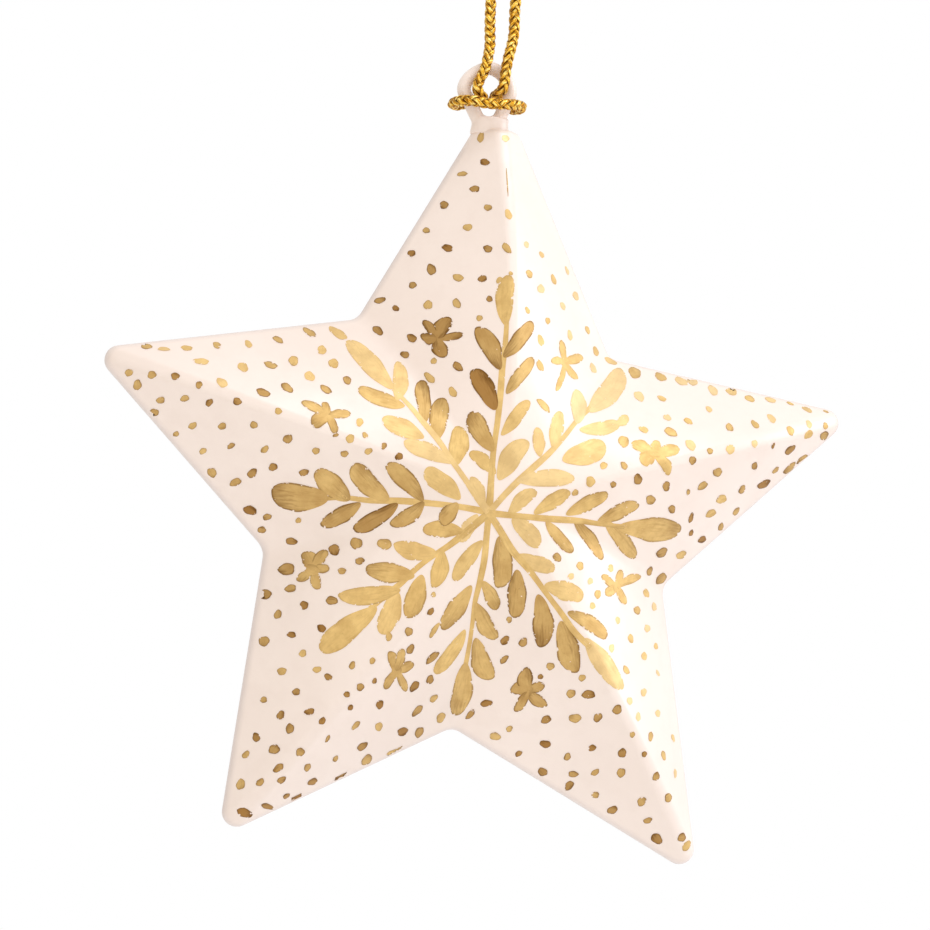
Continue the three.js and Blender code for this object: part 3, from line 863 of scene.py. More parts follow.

# ---------------- painted pattern
# Places on the star as seen from its front: to the right and up from its middle, in millimetres.
# Sprigs: the points of each stem, then each leaf's base, tip and width, and maybe how brown it is, which
# holds the paint's own tone and also painted light and shade of the face it lies on.
SPRIGS = [
    ([  # upright
        (-2.3, -1.3), (-2.2, 2.5), (-2, 5.9), (-1.6, 9.4), (-1.3, 12.9), (-1.1, 15.8), (-0.8, 18.1),
        (-0.6, 20.8),
    ], [
        (-0.7, 20.7, -0.2, 26.4, 1.8, 0.1), (-1.5, 15.5, -3.3, 20.2, 2, 0.9),
        (-2, 10.8, -4.1, 15.2, 2.1, 1.4), (-2.2, 6, -4.5, 10.2, 2.1, 0.65),
        (-1.9, 3.4, -4.7, 5.5, 1.5, 0.1), (-0.8, 16.9, 2.7, 21.3, 1.7, 0.75),
        (-0.5, 12.7, 2.9, 16.8, 1.5, 0.5), (-1, 7.9, 2, 12, 1.5), (-1.2, 2.8, 1.8, 7.4, 2.3, -0.15),
        (-0.9, 25.1, -1.3, 26.1, 0.8),
    ]),
    ([  # upper right
        (-2.3, -1.3), (-0.9, 0.5), (0.8, 2.4), (2.6, 4.1), (4.9, 6.2), (7, 8.4), (8.8, 10.4), (11.1, 12.4),
    ], [
        (10.7, 11.8, 16.6, 17.3, 2.4), (3.6, 5.9, 3.5, 8.9, 1.5), (5.5, 6.7, 6.4, 11.2, 1.7),
        (8.8, 10.3, 9.4, 14, 2.1), (1.1, 2.6, 7.8, 3.4, 1.8, -0.3), (6.7, 5.5, 11.9, 7.6, 2.5),
        (9.2, 9.3, 14.1, 10.4, 1.6), (13.9, 10.4, 15.4, 11.4, 1),
    ]),
    ([  # right
        (-2.3, -1.3), (1.4, -1.4), (5.1, -1.4), (8.9, -1.3), (11.9, -1.4), (15, -1.4),
    ], [
        (14.4, -1.5, 23.3, -1.1, 2.4, 0.4), (0.2, -1.1, 3, 1.8, 1.6), (3.3, -0.8, 7.1, 2, 1.6),
        (7.3, -0.6, 12.1, 2, 1.6, 0.35), (11.5, -1, 16.3, 1.4, 1.6, 0.5),
        (0.7, -1.9, 4.1, -4.3, 2.1, -0.15), (4.8, -1.9, 8.3, -4.9, 1.5, 0.45),
        (8.3, -1.4, 12.6, -5.3, 1.5, 0.6), (12.4, -1.1, 17.6, -4.6, 1.7, 0.4),
    ]),
    ([  # lower right
        (-2.3, -1.3), (-0.9, -3.1), (0.9, -5.4), (3.1, -7.5), (5.1, -9.7), (7.1, -11.8), (9.1, -14),
        (11.1, -15.6),
    ], [
        (10.5, -14.8, 15.6, -20.1, 2.2), (1.6, -5.9, 6, -6.9, 1.7, -0.1), (5.2, -9, 9.8, -10.1, 2.1),
        (8.2, -11.9, 13.4, -14.2, 1.8, 0.5), (-0.8, -4.1, 0.2, -9.5, 2.3, 0.6),
        (1.6, -7.7, 2.5, -12.7, 2, 0.8), (4.4, -10.3, 5.9, -15.8, 2.1, 0.8),
        (7.4, -13.1, 9.7, -18.5, 2.2, 0.65),
    ]),
    ([  # down
        (-2.3, -1.3), (-2.4, -3.5), (-2.4, -6.6), (-2.6, -9.1), (-2.8, -11.3), (-2.6, -13.9), (-2.4, -16.1),
        (-2.2, -18.6),
    ], [
        (-2.3, -18.3, -1.4, -23.8, 2.4, 0.45), (-3, -4.7, -5.9, -9.1, 1.7),
        (-3.7, -9.8, -6.6, -14.4, 2, 0.45), (-3.5, -14.7, -6, -19.5, 1.8, 0.1),
        (-2.1, -9.2, 0.2, -11.8, 1.5, 0.45), (-2.6, -11.6, 0.5, -15.3, 1.7, 0.4),
        (-1.7, -15.5, 1.1, -19.7, 2, 0.45), (-6.9, -14.2, -7.6, -15.7, 0.6),
    ]),
    ([  # lower left
        (-2.3, -1.3), (-4.3, -3.2), (-6.5, -5.2), (-8.6, -6.8), (-10.2, -8.3), (-11.6, -9.9),
        (-13.1, -11.3), (-14.5, -12.8),
    ], [
        (-14.1, -12.8, -19.2, -17.8, 2.4, 0.1), (-5.4, -3.5, -9.4, -3.3, 1.8), (-8.2, -6.1, -12.3, -5.8, 2),
        (-10.4, -8.9, -15.1, -8.4, 2.1, 0.45), (-11.8, -10.6, -17.6, -11.7, 2),
        (-7.3, -6.1, -7.8, -10.1, 1.7), (-9.4, -9, -10.4, -13.7, 2), (-11.9, -11, -13.1, -15.7, 2, 0),
        (-3.7, -1.8, -5.3, -4.8, 1.5, -0.25), (-12.6, -15.6, -12.5, -16.4, 0.6),
    ]),
    ([  # left
        (-2.3, -1.2), (-5.6, -0.8), (-8.9, -0.6), (-12.2, -0.5), (-15.4, -0.6), (-18, -0.4), (-20.3, -0.6),
    ], [
        (-19.9, -0.6, -25.3, -0.3, 2.9, 0.7), (-5.9, 0.2, -10, 2.9, 2.1, 0),
        (-9.9, -0.2, -14.2, 3.5, 1.8, 0.65), (-13.6, -0.3, -17.8, 3.2, 2.1, 0.5),
        (-17.7, -0.5, -21.4, 2.5, 2.1, 0.5), (-6.1, -0.6, -7.7, -2.7, 1.7, 0.6),
        (-9.8, -0.7, -12.6, -3.4, 1.7, 0.7), (-12.6, -1, -16.4, -4, 1.8, 1.1),
        (-16.5, -1.1, -19.5, -3.7, 1.8, 0.8),
    ]),
    ([  # upper left
        (-2.3, -1.2), (-4, 0.7), (-5.7, 2.9), (-6.9, 4.5), (-8.2, 6.5), (-9.7, 8.4), (-11.2, 10.4),
        (-12.9, 12.4),
    ], [
        (-13.2, 12.6, -16.8, 18.2, 2.4, -0.15), (-6.4, 4.1, -5.6, 8.4, 2.1, 0.1),
        (-8.4, 6.9, -7.6, 11.7, 2, 0.5), (-9.7, 8.9, -9.6, 13.7, 1.7, 0.7), (-12.6, 11.3, -11.6, 15.8, 1.7),
        (-6.9, 4.2, -12.3, 5.9, 1.8, -0.25), (-10.2, 6.9, -14.6, 8.3, 2),
        (-12.1, 10.5, -16.9, 12.2, 1.8, 0.3), (-3, -0.5, -4.3, 2.7, 1.4, -0.15),
    ]),
]
# Flowers: the middle, how brown (the paint's own tone and also painted light and shade of the face it lies
# on), then each petal's tip and width.
FLOWERS = [
    ((-7.8, 18.7), 1.15, [
        (-6.6, 21.3, 1.4), (-5.1, 19.2, 0.8), (-7.2, 16.4, 1.3), (-9.3, 18.7, 1.2), (-8.8, 20.9, 0.9),
    ]),
    ((7.4, 17.1), 0.2, [
        (7, 19.7, 0.9), (10.3, 18.3, 1), (9.2, 15.3, 0.9), (5.9, 13.5, 0.7), (5.3, 17, 0.8),
    ]),
    ((17.9, 7.1), 0.1, [
        (15.2, 8.3, 1.4), (21.1, 8.1, 1.2), (19.9, 5, 1.2), (16, 5.9, 1.4), (18.5, 8.8, 1),
    ]),
    ((-20.2, -8.5), 0.5, [
        (-20.8, -6.4, 1.4), (-19, -6.2, 1), (-18.6, -8.3, 0.9), (-19.8, -10.8, 0.9), (-21.5, -9.9, 0.9),
    ]),
    ((14.8, -8.3), 0.3, [
        (12.5, -7.1, 0.9), (15.5, -6.2, 1), (18.9, -6.5, 0.9), (16.3, -10.1, 1), (13, -9.3, 1),
    ]),
    ((-11, -19.6), 0.5, [
        (-12.3, -17.5, 1), (-10.9, -17.1, 1), (-9, -18.6, 1), (-9, -21.6, 0.8), (-12.1, -21.6, 1),
    ]),
    ((5.3, -20.8), 0.8, [
        (4.3, -18.3, 1.4), (6.9, -19.9, 1), (7.7, -22.4, 1), (4.8, -23.1, 1), (3.5, -20.3, 1.3),
    ]),
    ((-20.7, 8.7), 0.5, [
        (-23.5, 10.2, 1), (-20.9, 10.3, 0.8), (-18.1, 9, 0.9), (-20, 6.6, 0.9), (-22.7, 7.5, 1.4),
    ]),
]
# Dots: place and size, or place, length, width and turn in degrees.
DOTS = [
    # top arm
    (0.25, 37.6, 3.6, 0.14, -91), (-1.9, 43.2, 1.4, 0.6, 70), (0.6, 43.1, 0.9), (-4, 38.7, 1, 0.6, 15),
    (-1.8, 40.1, 0.9), (-6, 34.9, 0.9), (-3, 36.8, 0.9), (-1.9, 34.5, 0.8), (-7.9, 31.8, 0.7),
    (-4, 32.1, 0.9), (0.1, 33.7, 1.3, 0.8, -70), (-9.5, 29, 0.8), (-6.1, 29.6, 1), (-2.2, 29.5, 0.9),
    (-0.3, 29.6, 1.4, 0.8, -65), (2.4, 30.4, 0.8), (4.8, 29.6, 0.9, 0.7, -40), (9.1, 28.5, 1.1, 0.6, -60),
    (-7.8, 27, 1.4, 0.9, -85), (-5.3, 26, 1), (-2.9, 25.9, 0.9), (0, 26.6, 0.5), (2.6, 26.9, 1),
    (6.5, 26.9, 1.3, 0.8, -65), (10.2, 25.6, 1.1), (-12.9, 23.3, 1.2, 0.7, 20), (-9.7, 25.1, 0.8),
    (-8.4, 22.7, 1), (-5.6, 22.9, 1.2, 0.8, -70), (-2.3, 23.5, 0.7), (2.1, 22.5, 0.9, 0.6, -65),
    (4.3, 25.4, 1.1), (7.7, 23.9, 0.9), (-13.4, 19.6, 1.3, 0.9, -50), (-11.5, 22.3, 0.7), (-3.4, 21.2, 0.7),
    (5.1, 21.7, 0.8), (8.5, 20.5, 1.3, 0.8, -90), (11.7, 21.7, 0.9), (-11, 16.7, 0.9), (-10.2, 18.7, 1),
    (3.9, 19.2, 1.4, 0.9, -70), (12, 17.1, 1.3, 1, -55), (12.8, 19.3, 1.1), (-8.7, 14, 1.5, 0.8, -55),
    (-8.2, 16, 0.7), (-5.8, 15.4, 1.3, 0.9, -60), (3.7, 16.2, 1.4, 0.9, -65), (-6.4, 12.4, 1.3, 0.8, -65),
    (4.1, 11.6, 2.2, 0.9, -45),
    # right arm
    (42.1, 14.7, 0.7, 0.3, -15), (41.7, 12.9, 0.8), (39.6, 14.7, 1.3, 0.7, -20), (39.2, 12.8, 0.9),
    (39.2, 11.6, 1.5, 0.9, 25), (41.8, 11.8, 1.4, 1, 20), (35.1, 15.5, 1.4, 0.7, -10),
    (37.6, 15.3, 0.9, 0.4, -10), (36.4, 11.7, 1.1), (36.9, 9.6, 1.7, 0.9, 30), (39.4, 8.9, 1.8, 0.7, 40),
    (37.8, 7.7, 2, 0.9, 45), (32.3, 15.4, 1.3, 0.9, -10), (34.2, 13, 1.1), (34, 9.7, 0.7, 0.5, 90),
    (35.6, 7.2, 1.1, 0.6, 45), (30.2, 16.1, 1.5, 1, 5), (31.7, 12, 1), (31.2, 9.6, 0.9), (32, 7.2, 0.9),
    (34.4, 5.5, 2.1, 0.9, 20), (25.4, 16.9, 1.4, 1, 10), (27.7, 16, 1.3), (26.2, 13.4, 0.8),
    (28.2, 11.3, 1), (27.8, 8.6, 1.2), (31.1, 4.5, 1), (31.3, 2.1, 1.1, 0.8, 50), (21.3, 17.1, 1.3),
    (23.9, 16.8, 1.7, 1.1, 0), (25, 8.1, 0.8), (26.6, 5.9, 1.4, 1, 10), (28.3, 3.1, 1.6, 1, 15),
    (27.3, 1.4, 1.6, 0.9, 25), (29.6, 0.2, 0.9), (18, 17.3, 1.6), (20.4, 14.2, 1.1, 0.7, -20),
    (20.4, 11.8, 1, 0.8, 0), (23, 11.6, 1.1, 0.8, -25), (22.6, 8.6, 1.3), (22.7, 6.8, 1),
    (24.9, 4.2, 1.5, 0.9, 25), (23, 3.3, 0.6), (24.4, 0.6, 1.2, 0.7, 85), (25.1, -1, 0.7),
    (27.2, -1.5, 1.3, 0.8, 20), (15.2, 18.5, 1.9, 0.8, -15), (17.5, 14.2, 1.3), (20.4, 10, 1.6, 1.1, -10),
    (19.7, 3.6, 1.1), (21.2, 1.2, 1), (24.6, -3.5, 1.6, 0.9, 10), (17, 10, 1.2, 0.8, -10), (17.9, 1.9, 1.2),
    (21.4, -3.6, 1.7, 1.1, 15), (20.3, -5.8, 1), (22.5, -6.4, 1.9, 1.2, 25), (14.2, 8.3, 1.4),
    (13.9, 5.4, 1, 0.8, -60), (15.7, 4, 1.2), (11.4, 5.2, 0.9), (12.6, 3.1, 0.8), (9.7, 3.2, 1.2),
    (7.9, 1.8, 0.8),
    # lower right arm
    (27.3, -37.1, 1.5, 1, 45), (26.4, -36.2, 1.1), (23.6, -36.5, 1.6, 0.9, -40), (22, -34.5, 0.8),
    (25, -28.9, 1.1, 0.6, 85), (23.7, -31.8, 1.1), (20.7, -32.4, 1), (18, -33.5, 1),
    (22.8, -27, 1.2, 0.8, -65), (21.6, -29.5, 1), (15.7, -31.9, 0.9, 0.7, -25), (24.7, -24.8, 1, 0.6, -65),
    (20.5, -25, 1.2, 0.8, 80), (19.6, -27.1, 0.7), (17.1, -27.1, 1), (17.6, -29.3, 1), (14.9, -29.4, 0.8),
    (12.7, -31, 1), (21.8, -22.2, 0.9), (18.4, -22.9, 1.1, 0.8, -90), (17.7, -25, 0.7), (13.8, -26.7, 0.8),
    (11.5, -27.8, 0.8), (12.7, -29.7, 1.1, 0.7, -10), (9.5, -29.6, 1.2, 0.8, -35),
    (21.9, -17.5, 0.9, 0.5, -50), (19.3, -20, 1), (17, -21.2, 0.9), (15.4, -22.3, 1.1), (13.5, -23.3, 1),
    (8.8, -26.5, 1.3, 0.8, -20), (6.4, -27.7, 0.7), (21.6, -14.4, 0.8), (19.4, -15.8, 1),
    (16.4, -17.7, 1.2, 0.8, -35), (11.9, -20.8, 1.5, 1, 5), (10, -20.8, 1), (11.1, -23.5, 1.4, 1, 0),
    (8.1, -23.8, 1), (4.6, -25, 0.7), (3.4, -25.9, 1.3, 0.8, -25), (21.4, -9.8, 1), (20, -12.5, 1),
    (17.1, -14, 1), (14.1, -15.4, 0.9), (10.8, -19, 0.8), (19.9, -8.4, 1.1), (18.2, -10.6, 1.1),
    (15, -12.1, 0.8), (7.1, -17.9, 0.9), (6.3, -19.1, 0.6), (1.4, -22.3, 1.3, 0.8, 5),
    (0.1, -23.6, 1.2, 0.7, 65), (11.9, -9.4, 1), (11.2, -10.8, 0.8), (3.6, -15.4, 1),
    (2, -17.4, 1.1, 0.7, 50), (13.8, -6.2, 0.9), (10.8, -8, 0.8), (9.3, -6.4, 1), (8.1, -7.7, 0.8),
    (1.6, -13, 0.7), (1.6, -15.3, 1), (6.2, -5.7, 1.2, 1, -25),
    # lower left arm
    (-25.6, -36.4, 2, 1, -15), (-23, -35.5, 1.9, 0.6, -5), (-24.5, -32.9, 1, 0.7, 60),
    (-26.3, -33.2, 1.3, 0.8, 75), (-19.4, -34.4, 1.3, 0.4, 30), (-20.9, -34.2, 0.9, 0.6, 15),
    (-22.2, -32.5, 1.1, 0.8, 25), (-22.8, -31.2, 1.3, 0.8, 40), (-25.9, -29.8, 1, 0.6, 65),
    (-18, -32.4, 1.3, 0.8, 15), (-19.3, -30.9, 0.9), (-20.7, -29.3, 1), (-23.3, -29.1, 1.1),
    (-25, -27.8, 1.1, 0.7, -85), (-14.3, -31.8, 1.6, 0.7, 20), (-15.9, -29.7, 0.7),
    (-17.7, -27.6, 0.9, 0.5, 65), (-18.8, -25.7, 0.9, 0.7, 70), (-20.1, -24.7, 0.9),
    (-21.9, -26.7, 1.2, 0.8, 80), (-22.8, -25.2, 1.1, 0.7, 70), (-24.4, -23.5, 0.7), (-11.6, -29.5, 1.3),
    (-12.8, -28.1, 1.4, 0.9, 35), (-14.5, -25.9, 1.3, 0.7, 55), (-15.8, -24, 0.7), (-21.4, -22.5, 0.8),
    (-22.8, -20.2, 0.9), (-8.1, -28.4, 2.2, 0.7, 20), (-8, -26.1, 1.4, 1, 15), (-11.4, -25.8, 1),
    (-12.1, -23.4, 1), (-15.1, -21.7, 0.9), (-16.5, -22.6, 0.7), (-18.4, -20.7, 0.8), (-19.5, -19.9, 0.8),
    (-20.9, -18.1, 0.9, 0.7, 80), (-22, -16, 0.8), (-24.5, -16.8, 1.1), (-5.7, -26, 1.2),
    (-6.9, -23.7, 1.6, 0.9, 50), (-13.5, -20.9, 0.7, 0.6, 80), (-14.1, -18.7, 0.8, 0.6, 75),
    (-16.1, -19.3, 1, 0.6, 70), (-19.2, -15.2, 0.9), (-23.3, -13.7, 1.1, 0.7, 80), (-24.6, -11.4, 1.3),
    (-3.4, -24.2, 1.2), (-5.2, -22.2, 1.1, 0.8, 35), (-6.4, -20.2, 1), (-8.2, -21.1, 1.4, 1, 50),
    (-9.8, -17.1, 1.2, 0.9, 70), (-18.3, -12, 1.1), (-20.9, -12.6, 0.9), (-22.2, -10.7, 1),
    (-22.6, -8.5, 1.5), (-6.8, -17.8, 1.9, 0.9, 40), (-10.4, -15.2, 1), (-17.4, -8.6, 0.8),
    (-8.1, -12.8, 1, 0.7, 45), (-8, -10.9, 0.6), (-15.7, -7.4, 0.9), (-16.1, -5.4, 1.3), (-18.2, -6.2, 1.2),
    (-13.3, -5.4, 1.4),
    # left arm
    (-42, 12.6, 0.8), (-40.9, 11.3, 1.2, 0.8, -70), (-39.7, 12.4, 0.9), (-40, 15.8, 1.3, 0.7, 5),
    (-38.1, 15.6, 1.4, 0.5, 0), (-38.6, 8.4, 1, 0.7, -40), (-38.3, 9.7, 0.8), (-37.3, 12.3, 0.9),
    (-35.5, 15.9, 1.3, 0.7, 5), (-36, 6.1, 0.6), (-34.6, 7, 0.8), (-36, 9.9, 0.8), (-33.5, 9.5, 0.8),
    (-34.8, 11.4, 0.8), (-34.2, 14.3, 1.8, 0.8, -5), (-32, 16.5, 0.9), (-33, 4.3, 0.7), (-31.7, 7, 0.8),
    (-30.7, 9.7, 0.9), (-32.3, 11.8, 1.2), (-29.6, 13.9, 1.2), (-28.4, 16.9, 0.9),
    (-31.6, 2, 1.2, 0.8, -50), (-30.4, 4.9, 0.7), (-28.6, 7.2, 0.8), (-27.8, 10.9, 1.6, 1, -20),
    (-26.4, 14.4, 1.5, 0.9, -15), (-24.9, 17.7, 1.2, 0.8, -25), (-29.1, 1, 1), (-27.7, 2, 1),
    (-27, 4.6, 0.8), (-24.9, 5.8, 1), (-26.3, 8.8, 0.8), (-25, 11.7, 1.5, 1, -30), (-23.7, 15.1, 1.2),
    (-21.1, 18.9, 1.6, 0.9, -35), (-25.4, -4.1, 0.8), (-25.2, -2.7, 0.8), (-27, -2, 1.5, 0.9, -30),
    (-25.8, 2.7, 0.9), (-20.6, 11.8, 1.4, 0.9, -40), (-22.2, 13.3, 1.2), (-19.2, 15.1, 1.2),
    (-20.2, 16.7, 1.1), (-17.9, 19, 2.2, 1.2, -35), (-22.3, -5.3, 1.2, 0.8, -10), (-22.1, -3, 0.6),
    (-22.6, 2.2, 0.9), (-21.8, 4.6, 0.8), (-20, 6.4, 0.7, 0.4, 20), (-18, 13.1, 1), (-18.8, 4.4, 0.8),
    (-16.3, 4.8, 0.8), (-18.4, 6.1, 1), (-16.7, 6.6, 0.7), (-17.2, 8.1, 1.1, 0.8, 65), (-12.9, 4.4, 0.9),
    (-14.6, 5.5, 0.9, 0.6, 55),
]
PAINT_RISE = 0.028  # the paint stands this far above the gesso
RISE_SPREAD = (0.8, 1.4)  # more or less, stroke by stroke
PAINT_SINK = 0.12  # and its walls go this far under its surface
BRUSH_CELL = 0.42  # fineness of the paint's mesh
LEAF_BROWN = (0.0, 0.4)  # how brown stems and leaves are, at random
DOT_BROWN = (0.25, 1.5)  # and the dots
LIT_WAY = (0.75, 0.35, 0.55)  # painted highlight: paint is paler on the faces that look right and up, towards the lamps
LIT_RANGE = (0.3, 0.75)
LIT_PALER = 0.5  # how much less brown it is there
DOT_LIT_PALER = 1.06  # and how much less a dot is
DOT_STRETCH = (1.0, 1.14)  # how long a dot is when only its size is given
DOT_TURN = 8  # degrees that a dot is turned off its way, at most
STEM_HALF = 0.32
STEM_WORN = 0.4  # stems have less ragged rims than leaves
BASE_WHOLE = 0.25  # this much of a leaf or petal, at its base, has a whole rim
LEAF_SWELL = 1.09  # the brush spreads each leaf a little
LEAF_TIP = 2.35  # bluntness of a leaf's two ends: an oval has 2
LEAF_BASE = 2.0
LEAF_TAPER = 0.3  # how much it narrows towards its base
LEAF_ROOT = 0.3  # its base reaches this much further, into the stem
LEAF_SLANT = 0.42  # most that its tip is slanted
LEAF_BEND = 0.05  # most that it bends
PETAL_SWELL = 1.18
PETAL_TAPER = 0.15
FLOWER_MIDDLE = 1.3  # size of the dab in the middle of a flower
DOT_SWELL = 0.49
DOT_WORN = 0.7  # a dot's rim is a little less ragged than a leaf's
DOT_CELLS = 4


def rounded(p, q):
    """A square's place carried over to the disc inside it."""
    return p * math.sqrt(1 - q * q / 2), q * math.sqrt(1 - p * p / 2)


class Brush:
    """Lays closed films of paint on one half of the star."""

    def __init__(self, half, side, seed):
        skin = bmesh.new()
        skin.from_mesh(half.data)
        bmesh.ops.scale(skin, vec=(1 / MM,) * 3, verts=skin.verts)
        self.skin = BVHTree.FromBMesh(skin)
        skin.free()
        self.side = side
        self.rng = random.Random(seed)
        self.fresh()

    def fresh(self):
        self.bm = bmesh.new()
        self.tone = self.bm.verts.layers.float.new("tone")
        self.edge = self.bm.verts.layers.float.new("edge")
        self.sweep = self.bm.verts.layers.float.new("sweep")
        self.along = self.bm.loops.layers.uv.new("along")

    def hit(self, x, z):
        """The skin's point and direction under a place of the pattern; the rear is seen from behind."""
        start = Vector((-self.side * x, self.side * 2 * CROWN, z + STAR_MIDDLE.z))
        point, normal, _, _ = self.skin.ray_cast(start, Vector((0, -self.side, 0)))
        if point is None:
            start.y = self.side * LIP_ROUND
            point, normal, _, _ = self.skin.find_nearest(start)
        return point, normal

    def lit_paleness(self, x, z):
        """How much paler the paint is made at a place, as painted highlight on faces turned to the lamps: 0
        to 1.
        """
        normal = self.hit(x, z)[1]
        lit_score = abs(normal.y) * LIT_WAY[1] + normal.z * LIT_WAY[2] - self.side * normal.x * LIT_WAY[0]
        return min(max((lit_score - LIT_RANGE[0]) / (LIT_RANGE[1] - LIT_RANGE[0]), 0.0), 1.0)

    def phase(self):
        return self.rng.uniform(0, math.tau)

    def cells(self, length):
        return max(3, round(length / BRUSH_CELL))

    def stroke(self, place, along, across, tone=None, worn=1.0, whole=0.0):
        """One film: a grid laid out by place(u, v), with u from 0 to 1 and v from -1 to 1.

        Its rim is worn so much, but not before u = whole.
        """
        bm = self.bm
        if tone is None:
            tone = self.rng.uniform(*LEAF_BROWN)
            # painted highlight: a stroke on a face turned to the lamps is made paler
            tone -= LIT_PALER * self.lit_paleness(*place(0.5, 0.0))
        rise = PAINT_RISE * self.rng.uniform(*RISE_SPREAD)
        way = self.phase()
        shift = self.rng.uniform(0, 50)
        verts = bmesh.ops.create_grid(bm, x_segments=along, y_segments=across, size=1.0)["verts"]
        faces = {face for vert in verts for face in vert.link_faces}
        for face in faces:
            for loop in face.loops:
                x, y, _ = loop.vert.co * BRUSH_CELL / 2
                loop[self.along].uv = (shift + x * along, y * across)
        for vert in verts:
            u, v = (vert.co.x + 1) / 2, vert.co.y
            rim = max(abs(v), abs(2 * u - 1))
            point, normal = self.hit(*place(u, v))
            vert.co = point + normal * rise
            vert[self.tone] = tone
            vert[self.edge] = worn if rim > 0.99 and u >= whole else 0.0
            vert[self.sweep] = math.cos(way) * v + math.sin(way) * (2 * u - 1)
        made = bmesh.ops.extrude_face_region(bm, geom=list(faces), use_keep_orig=True)["geom"]
        for item in made:
            if isinstance(item, bmesh.types.BMVert):
                item.co.y -= self.side * (rise + PAINT_SINK)

    def blade(self, base, tip, wide, profile, tone=None, root=0.0):
        """A leaf or petal: a stroke from base to tip whose width follows a profile."""
        base, tip = Vector(base), Vector(tip)
        base -= (tip - base).normalized() * root
        axis = tip - base
        length = axis.length
        slant = self.rng.uniform(-LEAF_SLANT, LEAF_SLANT) * wide
        side = Vector((-axis.y, axis.x)) / length
        bend = self.rng.uniform(-LEAF_BEND, LEAF_BEND) * length
        phases = [self.phase() for _ in range(4)]

        def place(u, v):
            first, second = phases[:2] if v > 0 else phases[2:]
            p, q = rounded(2 * u - 1, v)
            wobble = 1 + 0.06 * math.sin(2.6 * p + first) + 0.04 * math.sin(6 * p + second)
            out = wide / 2 * q * profile(p) * wobble + bend * (1 - p * p)
            spot = base + axis * (0.5 + 0.5 * p + slant / length * q * max(p, 0.0)) + side * out
            return spot.x, spot.y

        self.stroke(place, self.cells(length) + 3, self.cells(wide) + 2, tone, whole=BASE_WHOLE)

    def stem(self, points):
        line = smooth_line([(x, 0, z) for x, z in points], BRUSH_CELL)
        last = len(line) - 1
        phase = self.phase()

        def place(u, v):
            at = u * last
            i = min(int(at), last - 1)
            spot = line[i].lerp(line[i + 1], at - i)
            along = (line[i + 1] - line[i]).normalized()
            half = STEM_HALF * (1.25 - 0.4 * u + 0.12 * math.sin(9 * u + phase))
            return spot.x - along.z * half * v, spot.z + along.x * half * v

        self.stroke(place, last, 3, worn=STEM_WORN)

    def dab(self, x, z, long, wide=None, turn=None, brown=None, worn=DOT_WORN):
        """A dot: a small dab, a little longer one way."""
        rng = self.rng
        if wide is None:
            stretch = rng.uniform(*DOT_STRETCH)
            long, wide, turn = long * stretch, long / stretch, rng.uniform(0, 180)
        if brown is None:
            # painted highlight: a dot on a face turned to the lamps is made paler
            brown = rng.uniform(*DOT_BROWN) - DOT_LIT_PALER * self.lit_paleness(x, z)
        turn = math.radians(turn + rng.uniform(-DOT_TURN, DOT_TURN))
        phase = self.phase()

        def place(u, v):
            p, q = rounded(2 * u - 1, v)
            around = math.atan2(q, p)
            swell = 1 + 0.06 * math.sin(3 * around + phase) + 0.05 * math.sin(5 * around - phase)
            p, q = p * long * DOT_SWELL * swell, q * wide * DOT_SWELL * swell
            return x + p * math.cos(turn) - q * math.sin(turn), z + p * math.sin(turn) + q * math.cos(turn)

        self.stroke(place, DOT_CELLS, DOT_CELLS, brown, worn)

    def done(self, name, material):
        """Finishes what was painted so far as one piece."""
        piece = finish_piece(name, self.bm, material, crisp=True)
        self.fresh()
        return piece


def fuller(p, power):
    """Half width of a blunt oval at p, against a plain oval's."""
    p = min(abs(p), 0.995)
    return (1 - p ** power) ** (1 / power) / math.sqrt(1 - p ** 2)


def leaf_profile(p):
    """How much a leaf is fuller or slimmer than an oval, from its base at -1 to its tip at 1."""
    return LEAF_SWELL * (fuller(p, LEAF_TIP) if p > 0 else fuller(p, LEAF_BASE) * (1.0 + LEAF_TAPER * p))


def petal_profile(p):
    return PETAL_SWELL * (1.0 + PETAL_TAPER * p)


def paint_half(half, side, label, material, seed):
    """The eight-sprig star of leaves, the small flowers and the dots on one half."""
    brush = Brush(half, side, seed)
    for stem, leaves in SPRIGS:
        brush.stem(stem)
        for base_x, base_z, tip_x, tip_z, wide, *brown in leaves:
            tone = brown[0] if brown else None
            brush.blade((base_x, base_z), (tip_x, tip_z), wide, leaf_profile, tone, LEAF_ROOT)
    sprigs = brush.done(f"{label}_leaf_sprigs", material)
    for (x, z), brown, petals in FLOWERS:
        for tip_x, tip_z, wide in petals:
            brush.blade((x, z), (tip_x, tip_z), wide, petal_profile, brown)
        brush.dab(x, z, FLOWER_MIDDLE, brown=brown, worn=0.0)
    flowers = brush.done(f"{label}_flowers", material)
    for spot in DOTS:
        brush.dab(*spot)
    return [sprigs, flowers, brush.done(f"{label}_dots", material)]


GOLD = (0.60, 0.385, 0.135)
GOLD_LIGHT = (0.76, 0.52, 0.20)
GOLD_STREAK = (0.50, 0.30, 0.09)
# painted highlight: the pale gold of low-toned strokes, mostly those on faces turned to the lamps
GOLD_PALE_LIT = (0.90, 0.70, 0.42)
GOLD_BROWN = (0.30, 0.135, 0.026)
GOLD_POOLED = (0.15, 0.06, 0.008)
GOLD_RIM = (0.17, 0.08, 0.017)
GOLD_SPECK = (0.10, 0.05, 0.02)
BARE_GESSO = (0.91, 0.77, 0.665)


